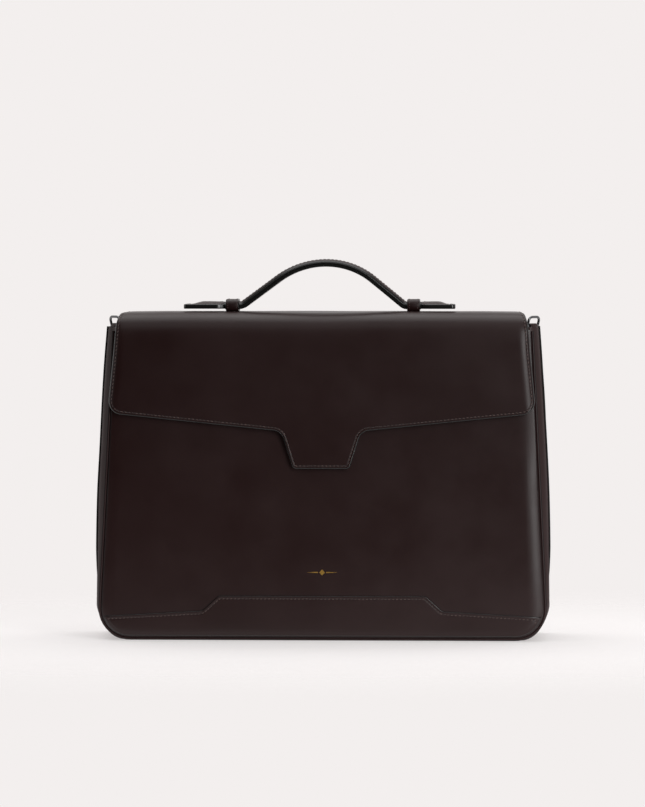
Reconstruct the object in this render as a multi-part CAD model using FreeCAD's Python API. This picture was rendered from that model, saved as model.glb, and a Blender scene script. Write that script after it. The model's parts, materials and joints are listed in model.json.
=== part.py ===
"""A leather flap-over briefcase, as separate pieces. Millimetres, +Z up, front towards -Y.

The origin is on the ground under the middle of the bag. The front and back walls lean in
towards each other, so their pieces are drawn flat and then laid on the leaning wall:
X runs across, Z up the wall, and a "level" is a distance out from the wall's outer face.
"""
import FreeCAD, Part
import math
import os

from FreeCAD import Vector

# ---------------------------------------------------------------- driving dimensions (mm)
BASE_DEPTH = 84.0           # front face to back face at the ground
LEAN = 2.0                  # degrees each wall leans in
HALF_WIDTH = 189.0          # half the wall's width at the ground, sides carried straight down
SIDE_TAPER = 0.0493         # how much narrower each side gets per mm of height
WALL_FOOT = 3.4             # height of the wall's lower edge
WALL_TOP = 264.0            # height of the wall's upper edge, up the wall
FOOT_RADIUS = 24.0          # the wall's rounded lower corners

LEATHER = 2.0               # outer leather of walls and flap
BOARD = 1.0                 # stiffening board behind the wall leather
LINING = 0.8                # cloth lining of the walls
FLAP_LINING = 1.2           # leather lining under the flap
GUSSET_LEATHER = 1.6
WELT = 1.2                  # flat welt between wall and gusset
WELT_PROUD = 1.2            # how far the welt stands out of the seam
SEAM = 4.5                  # seam allowance round the wall

FLAP_GAP = 2.4              # room for the snap between wall and flap
FLAP_TOP_Z = 279.0          # upper face of the flap's top
BEND_RADIUS = 12.0          # outside radius of the flap's bends
BACK_STRIP_FOOT = 206.0     # lower edge of the flap's sewn strip on the back wall

GUSSET_SPLIT = 50.0         # height where side gusset meets base gusset
GUSSET_TOP = 266.0
GUSSET_EDGE = -0.3          # gusset against the wall outline at the welt
GROUND_BULGE = WALL_FOOT    # the base gusset reaches the ground
BASE_SIDE_SHARE = 1.88      # swelling at the bag's sides against the swelling at the ground
BASE_ROUNDING = 2.4         # how much the swelling adds to the radius of the lower corners

PATCH_THICK = 1.2           # raised patch along the foot of a wall
PATCH_END_Z = 20.2          # its height at the wall's sides
PATCH_SHOULDER = (102.0, 25.4, 5.0)     # x, height and radius where its step starts
PATCH_STEP = (88.0, 38.2, 4.0)          # and where the step ends

KEEPER_X = 76.9             # middle of a handle keeper
KEEPER_LENGTH = 11.0
KEEPER_WIDTH = 29.0
KEEPER_HEIGHT = 10.5
TUNNEL_WIDTH = 24.6
TUNNEL_FLOOR = 1.6
TUNNEL_HEIGHT = 6.9
STRAP_WIDTH = 24.0
STRAP_THICK = 6.3
GRIP_WIDTH = 22.0
GRIP_RISE = 36.3            # middle of the grip over the middle of the strap in the keeper
GRIP_CROWN_RADIUS = 65.43
GRIP_FOOT_RADIUS = 7.0
GRIP_SLOPE = 38.0           # degrees
TAB_END_X = 116.0
TAB_WIDTH = 28.0
TAB_THICK = 4.5

SNAP_V = 158.0              # height of the snap up the wall
SNAP_RADIUS = 9.0
SNAP_PIN_RADIUS = 3.0
SNAP_WELL_RADIUS = 4.4      # the socket well that the pin drops into
SNAP_SHANK_RADIUS = 2.5

RING_WIRE = 1.1             # radius of the ring's wire
RING_WIDTH = 12.6           # between the middles of the ring's legs
RING_HEIGHT = 8.5           # from the middle of the bar to the middle of the bow
RING_BAR_Z = 266.0
RING_SHARE = 0.5            # place of the ring on its gusset fold, 0 at the crease, 1 at the rim
RING_TILT = 15.0            # degrees the ring stands outwards at rest
TAB_LOOP_BORE = 1.25
TAB_LOOP_RADIUS = 2.9
TAB_HALF = 4.2              # half the width of the leather tab in the ring

TAN_LEAN = math.tan(math.radians(LEAN))
COS_LEAN = math.cos(math.radians(LEAN))
STACK = LEATHER + BOARD + LINING                    # wall thickness
FLAP_THICK = LEATHER + FLAP_LINING
FLAP_OUT = FLAP_GAP + FLAP_THICK                    # level of the front flap's outer face
BEND_Z = FLAP_TOP_Z - BEND_RADIUS                   # height of the bends' centres
GUSSET_SEAT = LEATHER + WELT                        # level, inwards, where the gusset starts


# ---------------------------------------------------------------- drawing helpers
def wall_half_width(z):
    return HALF_WIDTH - SIDE_TAPER * z


def wall_face_y(z):
    """Distance of the walls' outer faces from the middle plane at a height."""
    return BASE_DEPTH / 2 - z * TAN_LEAN


def gusset_seat_y(z):
    return wall_face_y(z) - GUSSET_SEAT / COS_LEAN


def rounded_outline(corners, place=lambda x, z: Vector(x, 0, z)):
    """A closed wire through (x, z, radius) corners, with an arc at each corner."""
    spans = []
    count = len(corners)
    for i, (x, z, radius) in enumerate(corners):
        here = Vector(x, 0, z)
        before = Vector(corners[i - 1][0], 0, corners[i - 1][1]) - here
        after = Vector(corners[(i + 1) % count][0], 0, corners[(i + 1) % count][1]) - here
        if radius == 0:
            spans.append((here, None, here))
            continue
        before.normalize()
        after.normalize()
        half = before.getAngle(after) / 2
        reach = radius / math.tan(half)
        middle = (before + after).normalize() * (radius / math.sin(half) - radius)
        spans.append((here + before * reach, here + middle, here + after * reach))
    edges = []
    for i, (start, middle, end) in enumerate(spans):
        if middle is not None:
            points = [place(p.x, p.z) for p in (start, middle, end)]
            edges.append(Part.Arc(*points).toShape())
        following = spans[(i + 1) % count][0]
        if (following - end).Length > 1e-6:
            edges.append(Part.makeLine(place(end.x, end.z), place(following.x, following.z)))
    return Part.Wire(edges)


def slab(corners, low, high):
    """A flat piece with that outline, from level low to level high, before it is laid on a wall."""
    face = Part.Face(rounded_outline(corners))
    face.translate(Vector(0, -low, 0))
    return face.extrude(Vector(0, low - high, 0))


def disc(x, z, radius, low, high):
    return Part.makeCylinder(radius, high - low, Vector(x, -low, z), Vector(0, -1, 0))


def on_front(shape):
    """Lays a flat piece on the front wall."""
    laid = shape.copy()
    laid.translate(Vector(0, -BASE_DEPTH / 2, 0))
    laid.rotate(Vector(0, -BASE_DEPTH / 2, 0), Vector(1, 0, 0), -LEAN)
    return laid


def on_back(shape):
    """Lays a flat piece on the back wall."""
    return mirrored_y(on_front(shape))


def mirrored_x(shape):
    return shape.mirror(Vector(0, 0, 0), Vector(1, 0, 0))


def mirrored_y(shape):
    return shape.mirror(Vector(0, 0, 0), Vector(0, 1, 0))


def box(low, high):
    size = [b - a for a, b in zip(low, high)]
    return Part.makeBox(*size, Vector(*low))


def wall_corners(inset=0.0, top=WALL_TOP, foot=WALL_FOOT):
    """The wall's outline, drawn in by an inset."""
    foot = foot + inset
    radius = FOOT_RADIUS - inset
    low, high = wall_half_width(foot) - inset, wall_half_width(top) - inset
    return [(-high, top, 0), (-low, foot, radius), (low, foot, radius), (high, top, 0)]


# ---------------------------------------------------------------- walls
def wall_leather(snap_hole):
    leather = slab(wall_corners(), -LEATHER, 0)
    if snap_hole:
        leather = leather.cut(disc(0, SNAP_V, SNAP_SHANK_RADIUS, -LEATHER - 1, 1))
    return leather


def wall_board(snap_hole):
    board = slab(wall_corners(SEAM, WALL_TOP - 3), -LEATHER - BOARD, -LEATHER)
    if snap_hole:
        board = board.cut(disc(0, SNAP_V, SNAP_RADIUS + 0.4, -STACK, 0))
    return board


def wall_lining():
    return slab(wall_corners(SEAM, WALL_TOP - 28), -STACK, -LEATHER - BOARD)


def top_facing():
    """The leather strip inside a wall's upper edge, above the lining."""
    high, low = WALL_TOP - 3, WALL_TOP - 28
    corners = [
        (-wall_half_width(high) + SEAM, high, 0),
        (-wall_half_width(low) + SEAM, low, 0),
        (wall_half_width(low) - SEAM, low, 0),
        (wall_half_width(high) - SEAM, high, 0),
    ]
    return slab(corners, -STACK, -LEATHER - BOARD)


def base_patch():
    """The raised panel along the foot of a wall, higher in the middle."""
    right = [PATCH_STEP, PATCH_SHOULDER, (HALF_WIDTH + 10, PATCH_END_Z, 0), (HALF_WIDTH + 10, 0, 0)]
    left = [(-x, z, radius) for x, z, radius in reversed(right)]
    return slab(left + right, 0, PATCH_THICK).common(slab(wall_corners(), -1, 3))


def welt():
    """The flat strip sewn between a wall and the gusset, round both sides and the foot."""
    outer = slab(wall_corners(-WELT_PROUD, WALL_TOP - 1), -GUSSET_SEAT, -LEATHER)
    inner = slab(wall_corners(SEAM - 0.4, WALL_TOP + 9), -GUSSET_SEAT - 1, 1)
    return outer.cut(inner)


# ---------------------------------------------------------------- gussets
# height, bulge, crease, and how far out the flat middle reaches (share of the half depth)
GUSSET_SECTIONS = [
    (GUSSET_SPLIT, GROUND_BULGE * BASE_SIDE_SHARE, GROUND_BULGE * BASE_SIDE_SHARE, 0.75),
    (100.0, 7.7, 2.3, 0.62),
    (185.0, 8.3, -3.5, 0.56),
    (GUSSET_TOP, 7.3198, -8.2802, 0.55),
]


def swell(share, bulge, crease, plateau):
    """How far the gusset stands out of the wall outline; share runs from 0, middle, to 1, welt."""
    if share <= plateau:
        rise = (1 - math.cos(math.pi * share / plateau)) / 2
        return crease + (bulge - crease) * rise
    fall = (1 - math.cos(math.pi * (share - plateau) / (1 - plateau))) / 2
    return bulge + (GUSSET_EDGE - bulge) * fall


def stations(plateau):
    inner = [plateau * k / 3 for k in range(4)]
    outer = [plateau + (1 - plateau) * k / 3 for k in (1, 2, 3)]
    half = inner + outer
    return [-s for s in reversed(half[1:])] + half


def gusset_section(z, bulge, crease, plateau):
    """One closed outline across the right gusset: the outer line, then the inner one back."""
    seat, edge = gusset_seat_y(z), wall_half_width(z)
    line = [Vector(edge + swell(abs(s), bulge, crease, plateau), s * seat, z) for s in stations(plateau)]
    inner = []
    for i, here in enumerate(line):
        along = line[min(i + 1, len(line) - 1)] - line[max(i - 1, 0)]
        if i in (0, len(line) - 1):
            inner.append(here + Vector(-GUSSET_LEATHER, 0, 0))
            continue
        inward = Vector(-along.y, along.x, 0).normalize()
        inner.append(here + inward * GUSSET_LEATHER)
    return Part.makePolygon(line + inner[::-1] + [line[0]])


def side_gusset():
    """The right side: a strip that folds inwards along its middle, deeper towards the top."""
    return Part.makeLoft([gusset_section(*row) for row in GUSSET_SECTIONS], True, True)


def base_section(swelling, share):
    """The closed U outline of the base gusset at one station through its depth."""
    side = swelling * BASE_SIDE_SHARE if swelling > 0 else swelling
    foot = WALL_FOOT - swelling
    low, high = wall_half_width(foot) + side, wall_half_width(GUSSET_SPLIT) + side
    t, radius = GUSSET_LEATHER, FOOT_RADIUS + swelling * BASE_ROUNDING
    right = [(high - t, GUSSET_SPLIT, 0), (high, GUSSET_SPLIT, 0)]
    under = [(low, foot, radius), (-low, foot, radius)]
    left = [(-high, GUSSET_SPLIT, 0), (t - high, GUSSET_SPLIT, 0)]
    inside = [(t - low, foot + t, radius - t), (low - t, foot + t, radius - t)]
    return rounded_outline(
        right + under + left + inside, lambda x, z: Vector(x, share * gusset_seat_y(z), z))


def base_gusset():
    """The strip under the bag, carried round both lower corners."""
    plateau = GUSSET_SECTIONS[0][3]
    shares = [share for share in stations(plateau) if abs(share) > plateau - 1e-6]
    sections = [base_section(swell(abs(s), GROUND_BULGE, GROUND_BULGE, plateau), s) for s in shares]
    return Part.makeLoft(sections, True, True)


def base_board():
    """The stiff board that keeps the foot of the bag flat."""
    low = GUSSET_LEATHER + 0.1
    return box((-148, -27.5, low), (148, 27.5, low + 2))


# ---------------------------------------------------------------- inside
DIVIDER_Y = -6.0            # front face of the padded divider
DIVIDER_TOP = 236.0
BINDING = 9.0


def divider_pad():
    low = GUSSET_LEATHER + 2.1
    return box((-162, DIVIDER_Y, low), (162, DIVIDER_Y + 6, DIVIDER_TOP))


def divider_binding():
    """The leather folded over the divider's upper edge."""
    outer = box((-162, DIVIDER_Y - 1, DIVIDER_TOP - BINDING), (162, DIVIDER_Y + 7, DIVIDER_TOP + 1))
    return outer.cut(box((-170, DIVIDER_Y, 0), (170, DIVIDER_Y + 6, DIVIDER_TOP)))


def slip_pocket():
    """The flat pocket on the front lining."""
    corners = [(-130, 190, 0), (-130, 60, 10), (130, 60, 10), (130, 190, 0)]
    return slab(corners, -STACK - 1.0, -STACK)


def slip_pocket_binding():
    corners = [(-130, 202, 0), (-130, 190, 0), (130, 190, 0), (130, 202, 0)]
    return slab(corners, -STACK - 1.6, -STACK)


ZIP_V = 205.0
ZIP_HALF = 88.0             # half the length of the zip's window
ZIP_FRAME = 7.0
ZIP_WINDOW = 5.0            # half the height of the window
ZIP_PARTING = 0.1           # half the gap between the coils
SLIDER_REST_X = 76.0
COIL_LEVEL = -STACK - 0.5
PULL_LEVEL = COIL_LEVEL - 3.7          # middle of the pull
PULL_LENGTH = 22.0


def zip_frame():
    """The leather frame round the zip pocket's window."""
    frame = slab(rectangle(-ZIP_HALF - ZIP_FRAME, ZIP_HALF + ZIP_FRAME, ZIP_WINDOW + ZIP_FRAME, 4), -STACK - 1.2, -STACK)
    return frame.cut(slab(rectangle(-ZIP_HALF, ZIP_HALF, ZIP_WINDOW, 2), -STACK - 3, 1))


def zip_strips(end_gap, height, low, high):
    """Two strips, one on each side of the line where the zip parts."""
    whole = slab(rectangle(end_gap - ZIP_HALF, ZIP_HALF - end_gap, height), low, high)
    return whole.cut(slab(rectangle(-ZIP_HALF - 1, ZIP_HALF + 1, ZIP_PARTING), low - 1, high + 1))


def zip_tapes():
    return zip_strips(2.5, ZIP_WINDOW - 0.2, COIL_LEVEL, -STACK)


def zip_coils():
    """The two nylon coils, as bars along the tapes' edges."""
    return zip_strips(4, 1.6, COIL_LEVEL - 1.0, COIL_LEVEL)


def rectangle(x_low, x_high, half, radius=0):
    """Corners of a rectangle centred on the zip's height."""
    return [(x_low, ZIP_V + half, radius), (x_low, ZIP_V - half, radius),
            (x_high, ZIP_V - half, radius), (x_high, ZIP_V + half, radius)]


def zip_slider():
    """The channel that rides over the coils, with the bridge that holds its pull."""
    x, top = SLIDER_REST_X, COIL_LEVEL - 2.6
    body = slab(rectangle(x - 5, x + 5, 3.4, 1.5), top, COIL_LEVEL - 0.4)
    channel = slab(rectangle(x - 9, x + 9, 2.1), COIL_LEVEL - 1.4, 1)
    bridge = slab(rectangle(x - 4, x + 4, 1), PULL_LEVEL - 1.9, top)
    eye = slab(rectangle(x - 2.4, x + 2.4, 2), PULL_LEVEL - 1.1, top)
    return body.cut(channel).fuse(bridge.cut(eye))


def zip_pull():
    """The flat pull, hinged on the slider's bridge."""
    x, low, high = SLIDER_REST_X, PULL_LEVEL - 0.6, PULL_LEVEL + 0.6
    bar = Part.makeCylinder(0.6, 5.0, Vector(x, -PULL_LEVEL, ZIP_V - 2.5), Vector(0, 0, 1))
    eye = slab(rectangle(x - 8, x + 0.5, 2.5), low, high).cut(slab(rectangle(x - 6, x + 2, 1.5), low - 1, high + 1))
    blade = slab(rectangle(x - PULL_LENGTH, x - 6, 3.2, 1.5), low, high)
    return blade.fuse([eye, bar]).removeSplitter()


# ---------------------------------------------------------------- flap
FLAP_TOP_HALF = 171.5
FLAP_LOW_HALF = 182.0
FLAP_LOW_Z = 193.0
FLAP_TONGUE = [(34.0, 177.6, 9.0), (24.0, 145.4, 3.0)]      # root and tip of the tongue's side


def bend_centre_y(level):
    """Distance from the middle plane of a bend's centre, for a flap whose outer face is at a level."""
    return wall_face_y(BEND_Z) + (level - BEND_RADIUS) / COS_LEAN


def bend_height(level):
    """How far up the wall a bend ends and the hanging flap starts."""
    run = BASE_DEPTH / 2 - bend_centre_y(level)
    return run * math.sin(math.radians(LEAN)) + BEND_Z * COS_LEAN


FRONT_BEND_Y = bend_centre_y(FLAP_OUT)
BACK_BEND_Y = bend_centre_y(FLAP_THICK)


def flap_front_corners():
    (root_x, root_z, root_r), (tip_x, tip_z, tip_r) = FLAP_TONGUE
    right = [(FLAP_LOW_HALF, FLAP_LOW_Z, 12), (root_x, root_z, root_r), (tip_x, tip_z, tip_r)]
    left = [(-x, z, r) for x, z, r in reversed(right)]
    top = bend_height(FLAP_OUT)
    return [(-FLAP_TOP_HALF, top, 0), (FLAP_TOP_HALF, top, 0)] + right + left


def flap_front_leather():
    leather = slab(flap_front_corners(), FLAP_GAP + FLAP_LINING, FLAP_OUT)
    return leather.cut(disc(0, SNAP_V, SNAP_RADIUS + 0.2, FLAP_GAP, FLAP_GAP + FLAP_LINING + 0.9))


def flap_front_lining():
    lining = slab(flap_front_corners(), FLAP_GAP, FLAP_GAP + FLAP_LINING)
    return lining.cut(disc(0, SNAP_V, SNAP_SHANK_RADIUS, 0, FLAP_OUT))


def flap_bend(level):
    """A quarter tube of leather from the flap's top to a hanging part, at the front."""
    low, high = BEND_Z + BEND_RADIUS - FLAP_THICK, BEND_Z + BEND_RADIUS
    centre_y = -bend_centre_y(level)
    corners = [(-FLAP_TOP_HALF, low), (FLAP_TOP_HALF, low), (FLAP_TOP_HALF, high), (-FLAP_TOP_HALF, high)]
    section = Part.makePolygon([Vector(x, centre_y, z) for x, z in corners + corners[:1]])
    return Part.Face(section).revolve(Vector(0, centre_y, BEND_Z), Vector(1, 0, 0), 90 - LEAN)


def flap_top_plate(low, high):
    """A layer of the flap's top, between two distances below its upper face."""
    z = FLAP_TOP_Z - high
    return box((-FLAP_TOP_HALF, -FRONT_BEND_Y, z), (FLAP_TOP_HALF, BACK_BEND_Y, FLAP_TOP_Z - low))


PLATE_HALF = (95.0, 14.0)
PLATE_THICK = 1.0
RIVETS = [(side * KEEPER_X, y) for side in (-1, 1) for y in (-7.0, 7.0)]
RIVET_RADIUS = 1.5


def rivet_holes(shape):
    """Cuts the keepers' rivet holes through a piece of the flap's top."""
    for x, y in RIVETS:
        hole = Part.makeCylinder(RIVET_RADIUS, 20, Vector(x, y, FLAP_TOP_Z - 10))
        shape = shape.cut(hole)
    return shape


def flap_top_leather():
    plate_room = box((-PLATE_HALF[0] - 0.2, -PLATE_HALF[1] - 0.2, 0),
                     (PLATE_HALF[0] + 0.2, PLATE_HALF[1] + 0.2, FLAP_TOP_Z - LEATHER + PLATE_THICK))
    return rivet_holes(flap_top_plate(0, LEATHER).cut(plate_room))


def flap_top_lining():
    return rivet_holes(flap_top_plate(LEATHER, FLAP_THICK))


def handle_plate():
    """The steel strip hidden in the flap's top that the keepers are riveted to."""
    low = FLAP_TOP_Z - LEATHER
    plate = box((-PLATE_HALF[0], -PLATE_HALF[1], low), (PLATE_HALF[0], PLATE_HALF[1], low + PLATE_THICK))
    return rivet_holes(plate)


def keeper_rivets():
    foot = FLAP_TOP_Z - FLAP_THICK
    shanks = []
    for x, y in RIVETS:
        shank = Part.makeCylinder(RIVET_RADIUS, FLAP_THICK + TUNNEL_FLOOR, Vector(x, y, foot))
        head = Part.makeCylinder(3.2, 0.8, Vector(x, y, foot - 0.8))
        shanks.append(shank.fuse(head))
    return Part.makeCompound(shanks)


def back_strip_leather(low, high):
    """The part of the flap that is sewn down on the back wall."""
    top = bend_height(FLAP_THICK)
    corners = [(-FLAP_TOP_HALF, top, 0), (FLAP_TOP_HALF, top, 0),
               (FLAP_TOP_HALF, BACK_STRIP_FOOT, 10), (-FLAP_TOP_HALF, BACK_STRIP_FOOT, 10)]
    return slab(corners, low, high)


# ---------------------------------------------------------------- snap
def snap_socket():
    """The magnetic half of the snap on the front wall, with its shank through the leather."""
    cup = disc(0, SNAP_V, SNAP_RADIUS + 0.5, 0, 1.5).cut(disc(0, SNAP_V, SNAP_WELL_RADIUS, 0.3, 2))
    return cup.fuse(disc(0, SNAP_V, SNAP_SHANK_RADIUS, -LEATHER, 0)).removeSplitter()


def snap_socket_washer():
    return disc(0, SNAP_V, SNAP_RADIUS, -LEATHER - 0.9, -LEATHER)


def snap_stud():
    """The steel half of the snap under the flap's tongue."""
    plate = disc(0, SNAP_V, SNAP_RADIUS, 1.7, FLAP_GAP)
    pin = disc(0, SNAP_V, SNAP_PIN_RADIUS, 0.5, 1.7)
    return plate.fuse([pin, disc(0, SNAP_V, SNAP_SHANK_RADIUS, FLAP_GAP, FLAP_GAP + FLAP_LINING)]).removeSplitter()


def snap_stud_washer():
    low = FLAP_GAP + FLAP_LINING
    return disc(0, SNAP_V, SNAP_RADIUS, low, low + 0.8)


# ---------------------------------------------------------------- handle
STRAP_FLOOR = FLAP_TOP_Z + TUNNEL_FLOOR + 0.3
STRAP_MIDDLE = STRAP_FLOOR + STRAP_THICK / 2
KEEPER_IN = KEEPER_X - KEEPER_LENGTH / 2
KEEPER_OUT = KEEPER_X + KEEPER_LENGTH / 2


def keeper():
    """The right loop that the handle strap slides through."""
    outer = box((KEEPER_IN, -KEEPER_WIDTH / 2, FLAP_TOP_Z), (KEEPER_OUT, KEEPER_WIDTH / 2, FLAP_TOP_Z + KEEPER_HEIGHT))
    low = FLAP_TOP_Z + TUNNEL_FLOOR
    tunnel = box((0, -TUNNEL_WIDTH / 2, low), (200, TUNNEL_WIDTH / 2, low + TUNNEL_HEIGHT))
    rounds = [e for e in outer.Edges if abs((e.Vertexes[0].Point - e.Vertexes[1].Point).x) > 1
              and e.CenterOfMass.z > FLAP_TOP_Z + 1]
    return rivet_holes(outer.makeFillet(2.0, rounds).cut(tunnel))


def grip_band(half_thick, half_width):
    """The arched strap between the keepers, with that half thickness and half width."""
    slope = math.radians(GRIP_SLOPE)
    crown_z = STRAP_MIDDLE + GRIP_RISE - GRIP_CROWN_RADIUS
    foot_z = STRAP_MIDDLE + GRIP_FOOT_RADIUS
    foot_x = KEEPER_IN

    def half_line(offset, side):
        """Points along one face of the right half: crown, start of slope, foot arc, keeper."""
        crown = GRIP_CROWN_RADIUS + offset * side
        foot = GRIP_FOOT_RADIUS - offset * side
        top = [Vector(crown * math.sin(a), 0, crown_z + crown * math.cos(a)) for a in (0, slope / 2, slope)]
        low = [Vector(foot_x - foot * math.sin(a), 0, foot_z - foot * math.cos(a)) for a in (slope, slope / 2, 0)]
        return top, low

    def edges(side):
        top, low = half_line(half_thick, side)
        flip = lambda p: Vector(-p.x, p.y, p.z)
        right = [Part.Arc(*top).toShape(), Part.makeLine(top[2], low[0]), Part.Arc(*low).toShape()]
        left = [Part.Arc(*[flip(p) for p in top]).toShape(), Part.makeLine(flip(top[2]), flip(low[0])),
                Part.Arc(*[flip(p) for p in low]).toShape()]
        return left + right, low[2]

    upper, upper_end = edges(1)
    lower, lower_end = edges(-1)
    ends = [Part.makeLine(Vector(s * upper_end.x, 0, upper_end.z), Vector(s * lower_end.x, 0, lower_end.z))
            for s in (-1, 1)]
    wire = Part.Wire(Part.__sortEdges__(upper + lower + ends))
    band = Part.Face(wire)
    band.translate(Vector(0, -half_width, 0))
    return band.extrude(Vector(0, 2 * half_width, 0))


def handle_grip():
    return grip_band(STRAP_THICK / 2, GRIP_WIDTH / 2).cut(handle_core())


def handle_core():
    """The filler inside the grip."""
    return grip_band(STRAP_THICK / 2 - 1.6, GRIP_WIDTH / 2 - 2)


def handle_end():
    """The right end of the strap: the part in the keeper and the broad tab beyond it."""
    neck = box((KEEPER_IN, -STRAP_WIDTH / 2, STRAP_FLOOR), (KEEPER_OUT + 1, STRAP_WIDTH / 2, STRAP_FLOOR + STRAP_THICK))
    outline = Part.makePolygon([Vector(*p) for p in [
        (KEEPER_OUT + 0.6, -TAB_WIDTH / 2 + 2, STRAP_FLOOR), (KEEPER_OUT + 5, -TAB_WIDTH / 2, STRAP_FLOOR),
        (TAB_END_X, -TAB_WIDTH / 2, STRAP_FLOOR), (TAB_END_X, TAB_WIDTH / 2, STRAP_FLOOR),
        (KEEPER_OUT + 5, TAB_WIDTH / 2, STRAP_FLOOR), (KEEPER_OUT + 0.6, TAB_WIDTH / 2 - 2, STRAP_FLOOR),
        (KEEPER_OUT + 0.6, -TAB_WIDTH / 2 + 2, STRAP_FLOOR)]])
    tab = Part.Face(outline).extrude(Vector(0, 0, TAB_THICK))
    ridge_top = STRAP_FLOOR + STRAP_THICK
    ridge = Part.Face(Part.makePolygon([Vector(*p) for p in [
        (KEEPER_OUT, 0, STRAP_FLOOR + 1), (TAB_END_X - 4, 0, STRAP_FLOOR + 1), (TAB_END_X - 4, 0, STRAP_FLOOR + TAB_THICK),
        (TAB_END_X - 12, 0, ridge_top), (KEEPER_OUT, 0, ridge_top), (KEEPER_OUT, 0, STRAP_FLOOR + 1)]]))
    ridge.translate(Vector(0, -8, 0))
    return neck.fuse([tab, ridge.extrude(Vector(0, 16, 0))]).removeSplitter()


# ---------------------------------------------------------------- strap rings
def gusset_fold_frame():
    """Middle of the right ring's bar, the bar's direction, and the way the fold faces."""
    z = RING_BAR_Z
    _, bulge, crease, plateau = GUSSET_SECTIONS[-1]
    edge, seat = wall_half_width(z), gusset_seat_y(z)
    inner = Vector(edge + crease, 0, z)
    outer = Vector(edge + bulge, plateau * seat, z)
    along = (outer - inner).normalize()
    facing = Vector(along.y, -along.x, 0)
    return inner + (outer - inner) * RING_SHARE + facing * (TAB_LOOP_RADIUS + 1.4), along, facing


def ring_tab():
    """The right leather tab: two layers down the fold, and a loop round the ring's bar."""
    middle, along, facing = gusset_fold_frame()
    half = TAB_HALF
    loop = Part.makeCylinder(TAB_LOOP_RADIUS, 2 * half, middle - along * half, along)
    bore = Part.makeCylinder(TAB_LOOP_BORE, 2 * half + 2, middle - along * (half + 1), along)
    corner = middle - along * half - facing * TAB_LOOP_RADIUS
    strap = Part.Face(Part.makePolygon([
        corner, corner + along * (2 * half), corner + along * (2 * half) + facing * 2.4,
        corner + facing * 2.4, corner])).extrude(Vector(0, 0, -38))
    return strap.fuse(loop).cut(bore).cut(side_gusset())


def strap_ring():
    """The right ring, standing in its tab's loop and tilted outwards."""
    middle, along, facing = gusset_fold_frame()
    tilt = math.radians(RING_TILT)
    up = Vector(0, 0, math.cos(tilt)) + facing * math.sin(tilt)
    half, round_ = RING_WIDTH / 2, 3.5
    low = 2.2

    def point(across, height):
        return middle + along * across + up * height

    diagonal = 1 - math.sqrt(0.5)
    path = Part.Wire([
        Part.makeLine(point(-half + low, 0), point(half - low, 0)),
        Part.Arc(point(half - low, 0), point(half - low * diagonal, low * diagonal), point(half, low)).toShape(),
        Part.makeLine(point(half, low), point(half, RING_HEIGHT - round_)),
        Part.Arc(point(half, RING_HEIGHT - round_), point(half - round_ * diagonal, RING_HEIGHT - round_ * diagonal),
                 point(half - round_, RING_HEIGHT)).toShape(),
        Part.makeLine(point(half - round_, RING_HEIGHT), point(-half + round_, RING_HEIGHT)),
        Part.Arc(point(-half + round_, RING_HEIGHT), point(-half + round_ * diagonal, RING_HEIGHT - round_ * diagonal),
                 point(-half, RING_HEIGHT - round_)).toShape(),
        Part.makeLine(point(-half, RING_HEIGHT - round_), point(-half, low)),
        Part.Arc(point(-half, low), point(-half + low * diagonal, low * diagonal), point(-half + low, 0)).toShape(),
    ])
    start = Part.Circle(point(0, 0), along, RING_WIRE).toShape()
    # the sweep starts at a joint of the path, so the circle is drawn there
    start.translate(point(-half + low, 0) - point(0, 0))
    return path.makePipeShell([Part.Wire(start)], True, False)


# ---------------------------------------------------------------- all pieces
def make_pieces():
    """Every node of the briefcase by name."""
    pieces = {
        "front_wall": on_front(wall_leather(True)),
        "front_board": on_front(wall_board(True)),
        "front_lining": on_front(wall_lining()),
        "front_facing": on_front(top_facing()),
        "front_base_patch": on_front(base_patch()),
        "front_welt": on_front(welt()),
        "back_wall": on_back(wall_leather(False)),
        "back_board": on_back(wall_board(False)),
        "back_lining": on_back(wall_lining()),
        "back_facing": on_back(top_facing()),
        "back_base_patch": on_back(base_patch()),
        "back_welt": on_back(welt()),
        "gusset_right": side_gusset(),
        "gusset_left": mirrored_x(side_gusset()),
        "gusset_base": base_gusset(),
        "base_board": base_board(),
        "divider_pad": divider_pad(),
        "divider_binding": divider_binding(),
        "slip_pocket": on_front(slip_pocket()),
        "slip_pocket_binding": on_front(slip_pocket_binding()),
        "zip_frame": on_back(zip_frame()),
        "zip_tapes": on_back(zip_tapes()),
        "zip_coils": on_back(zip_coils()),
        "zip_slider": on_back(zip_slider()),
        "zip_pull": on_back(zip_pull()),
        "flap_back_leather": on_back(back_strip_leather(FLAP_LINING, FLAP_THICK)),
        "flap_back_lining": on_back(back_strip_leather(0, FLAP_LINING)),
        "flap_back_bend": mirrored_y(flap_bend(FLAP_THICK)),
        "flap_top_leather": flap_top_leather(),
        "flap_top_lining": flap_top_lining(),
        "flap_front_bend": flap_bend(FLAP_OUT),
        "flap_front_leather": on_front(flap_front_leather()),
        "flap_front_lining": on_front(flap_front_lining()),
        "snap_socket": on_front(snap_socket()),
        "snap_socket_washer": on_front(snap_socket_washer()),
        "snap_stud": on_front(snap_stud()),
        "snap_stud_washer": on_front(snap_stud_washer()),
        "handle_plate": handle_plate(),
        "keeper_right": keeper(),
        "keeper_left": mirrored_x(keeper()),
        "keeper_rivets": keeper_rivets(),
        "handle_grip": handle_grip(),
        "handle_core": handle_core(),
        "handle_end_right": handle_end(),
        "handle_end_left": mirrored_x(handle_end()),
        "ring_tab_right": ring_tab(),
        "ring_tab_left": mirrored_x(ring_tab()),
        "strap_ring_right": strap_ring(),
        "strap_ring_left": mirrored_x(strap_ring()),
    }
    return pieces


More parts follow.
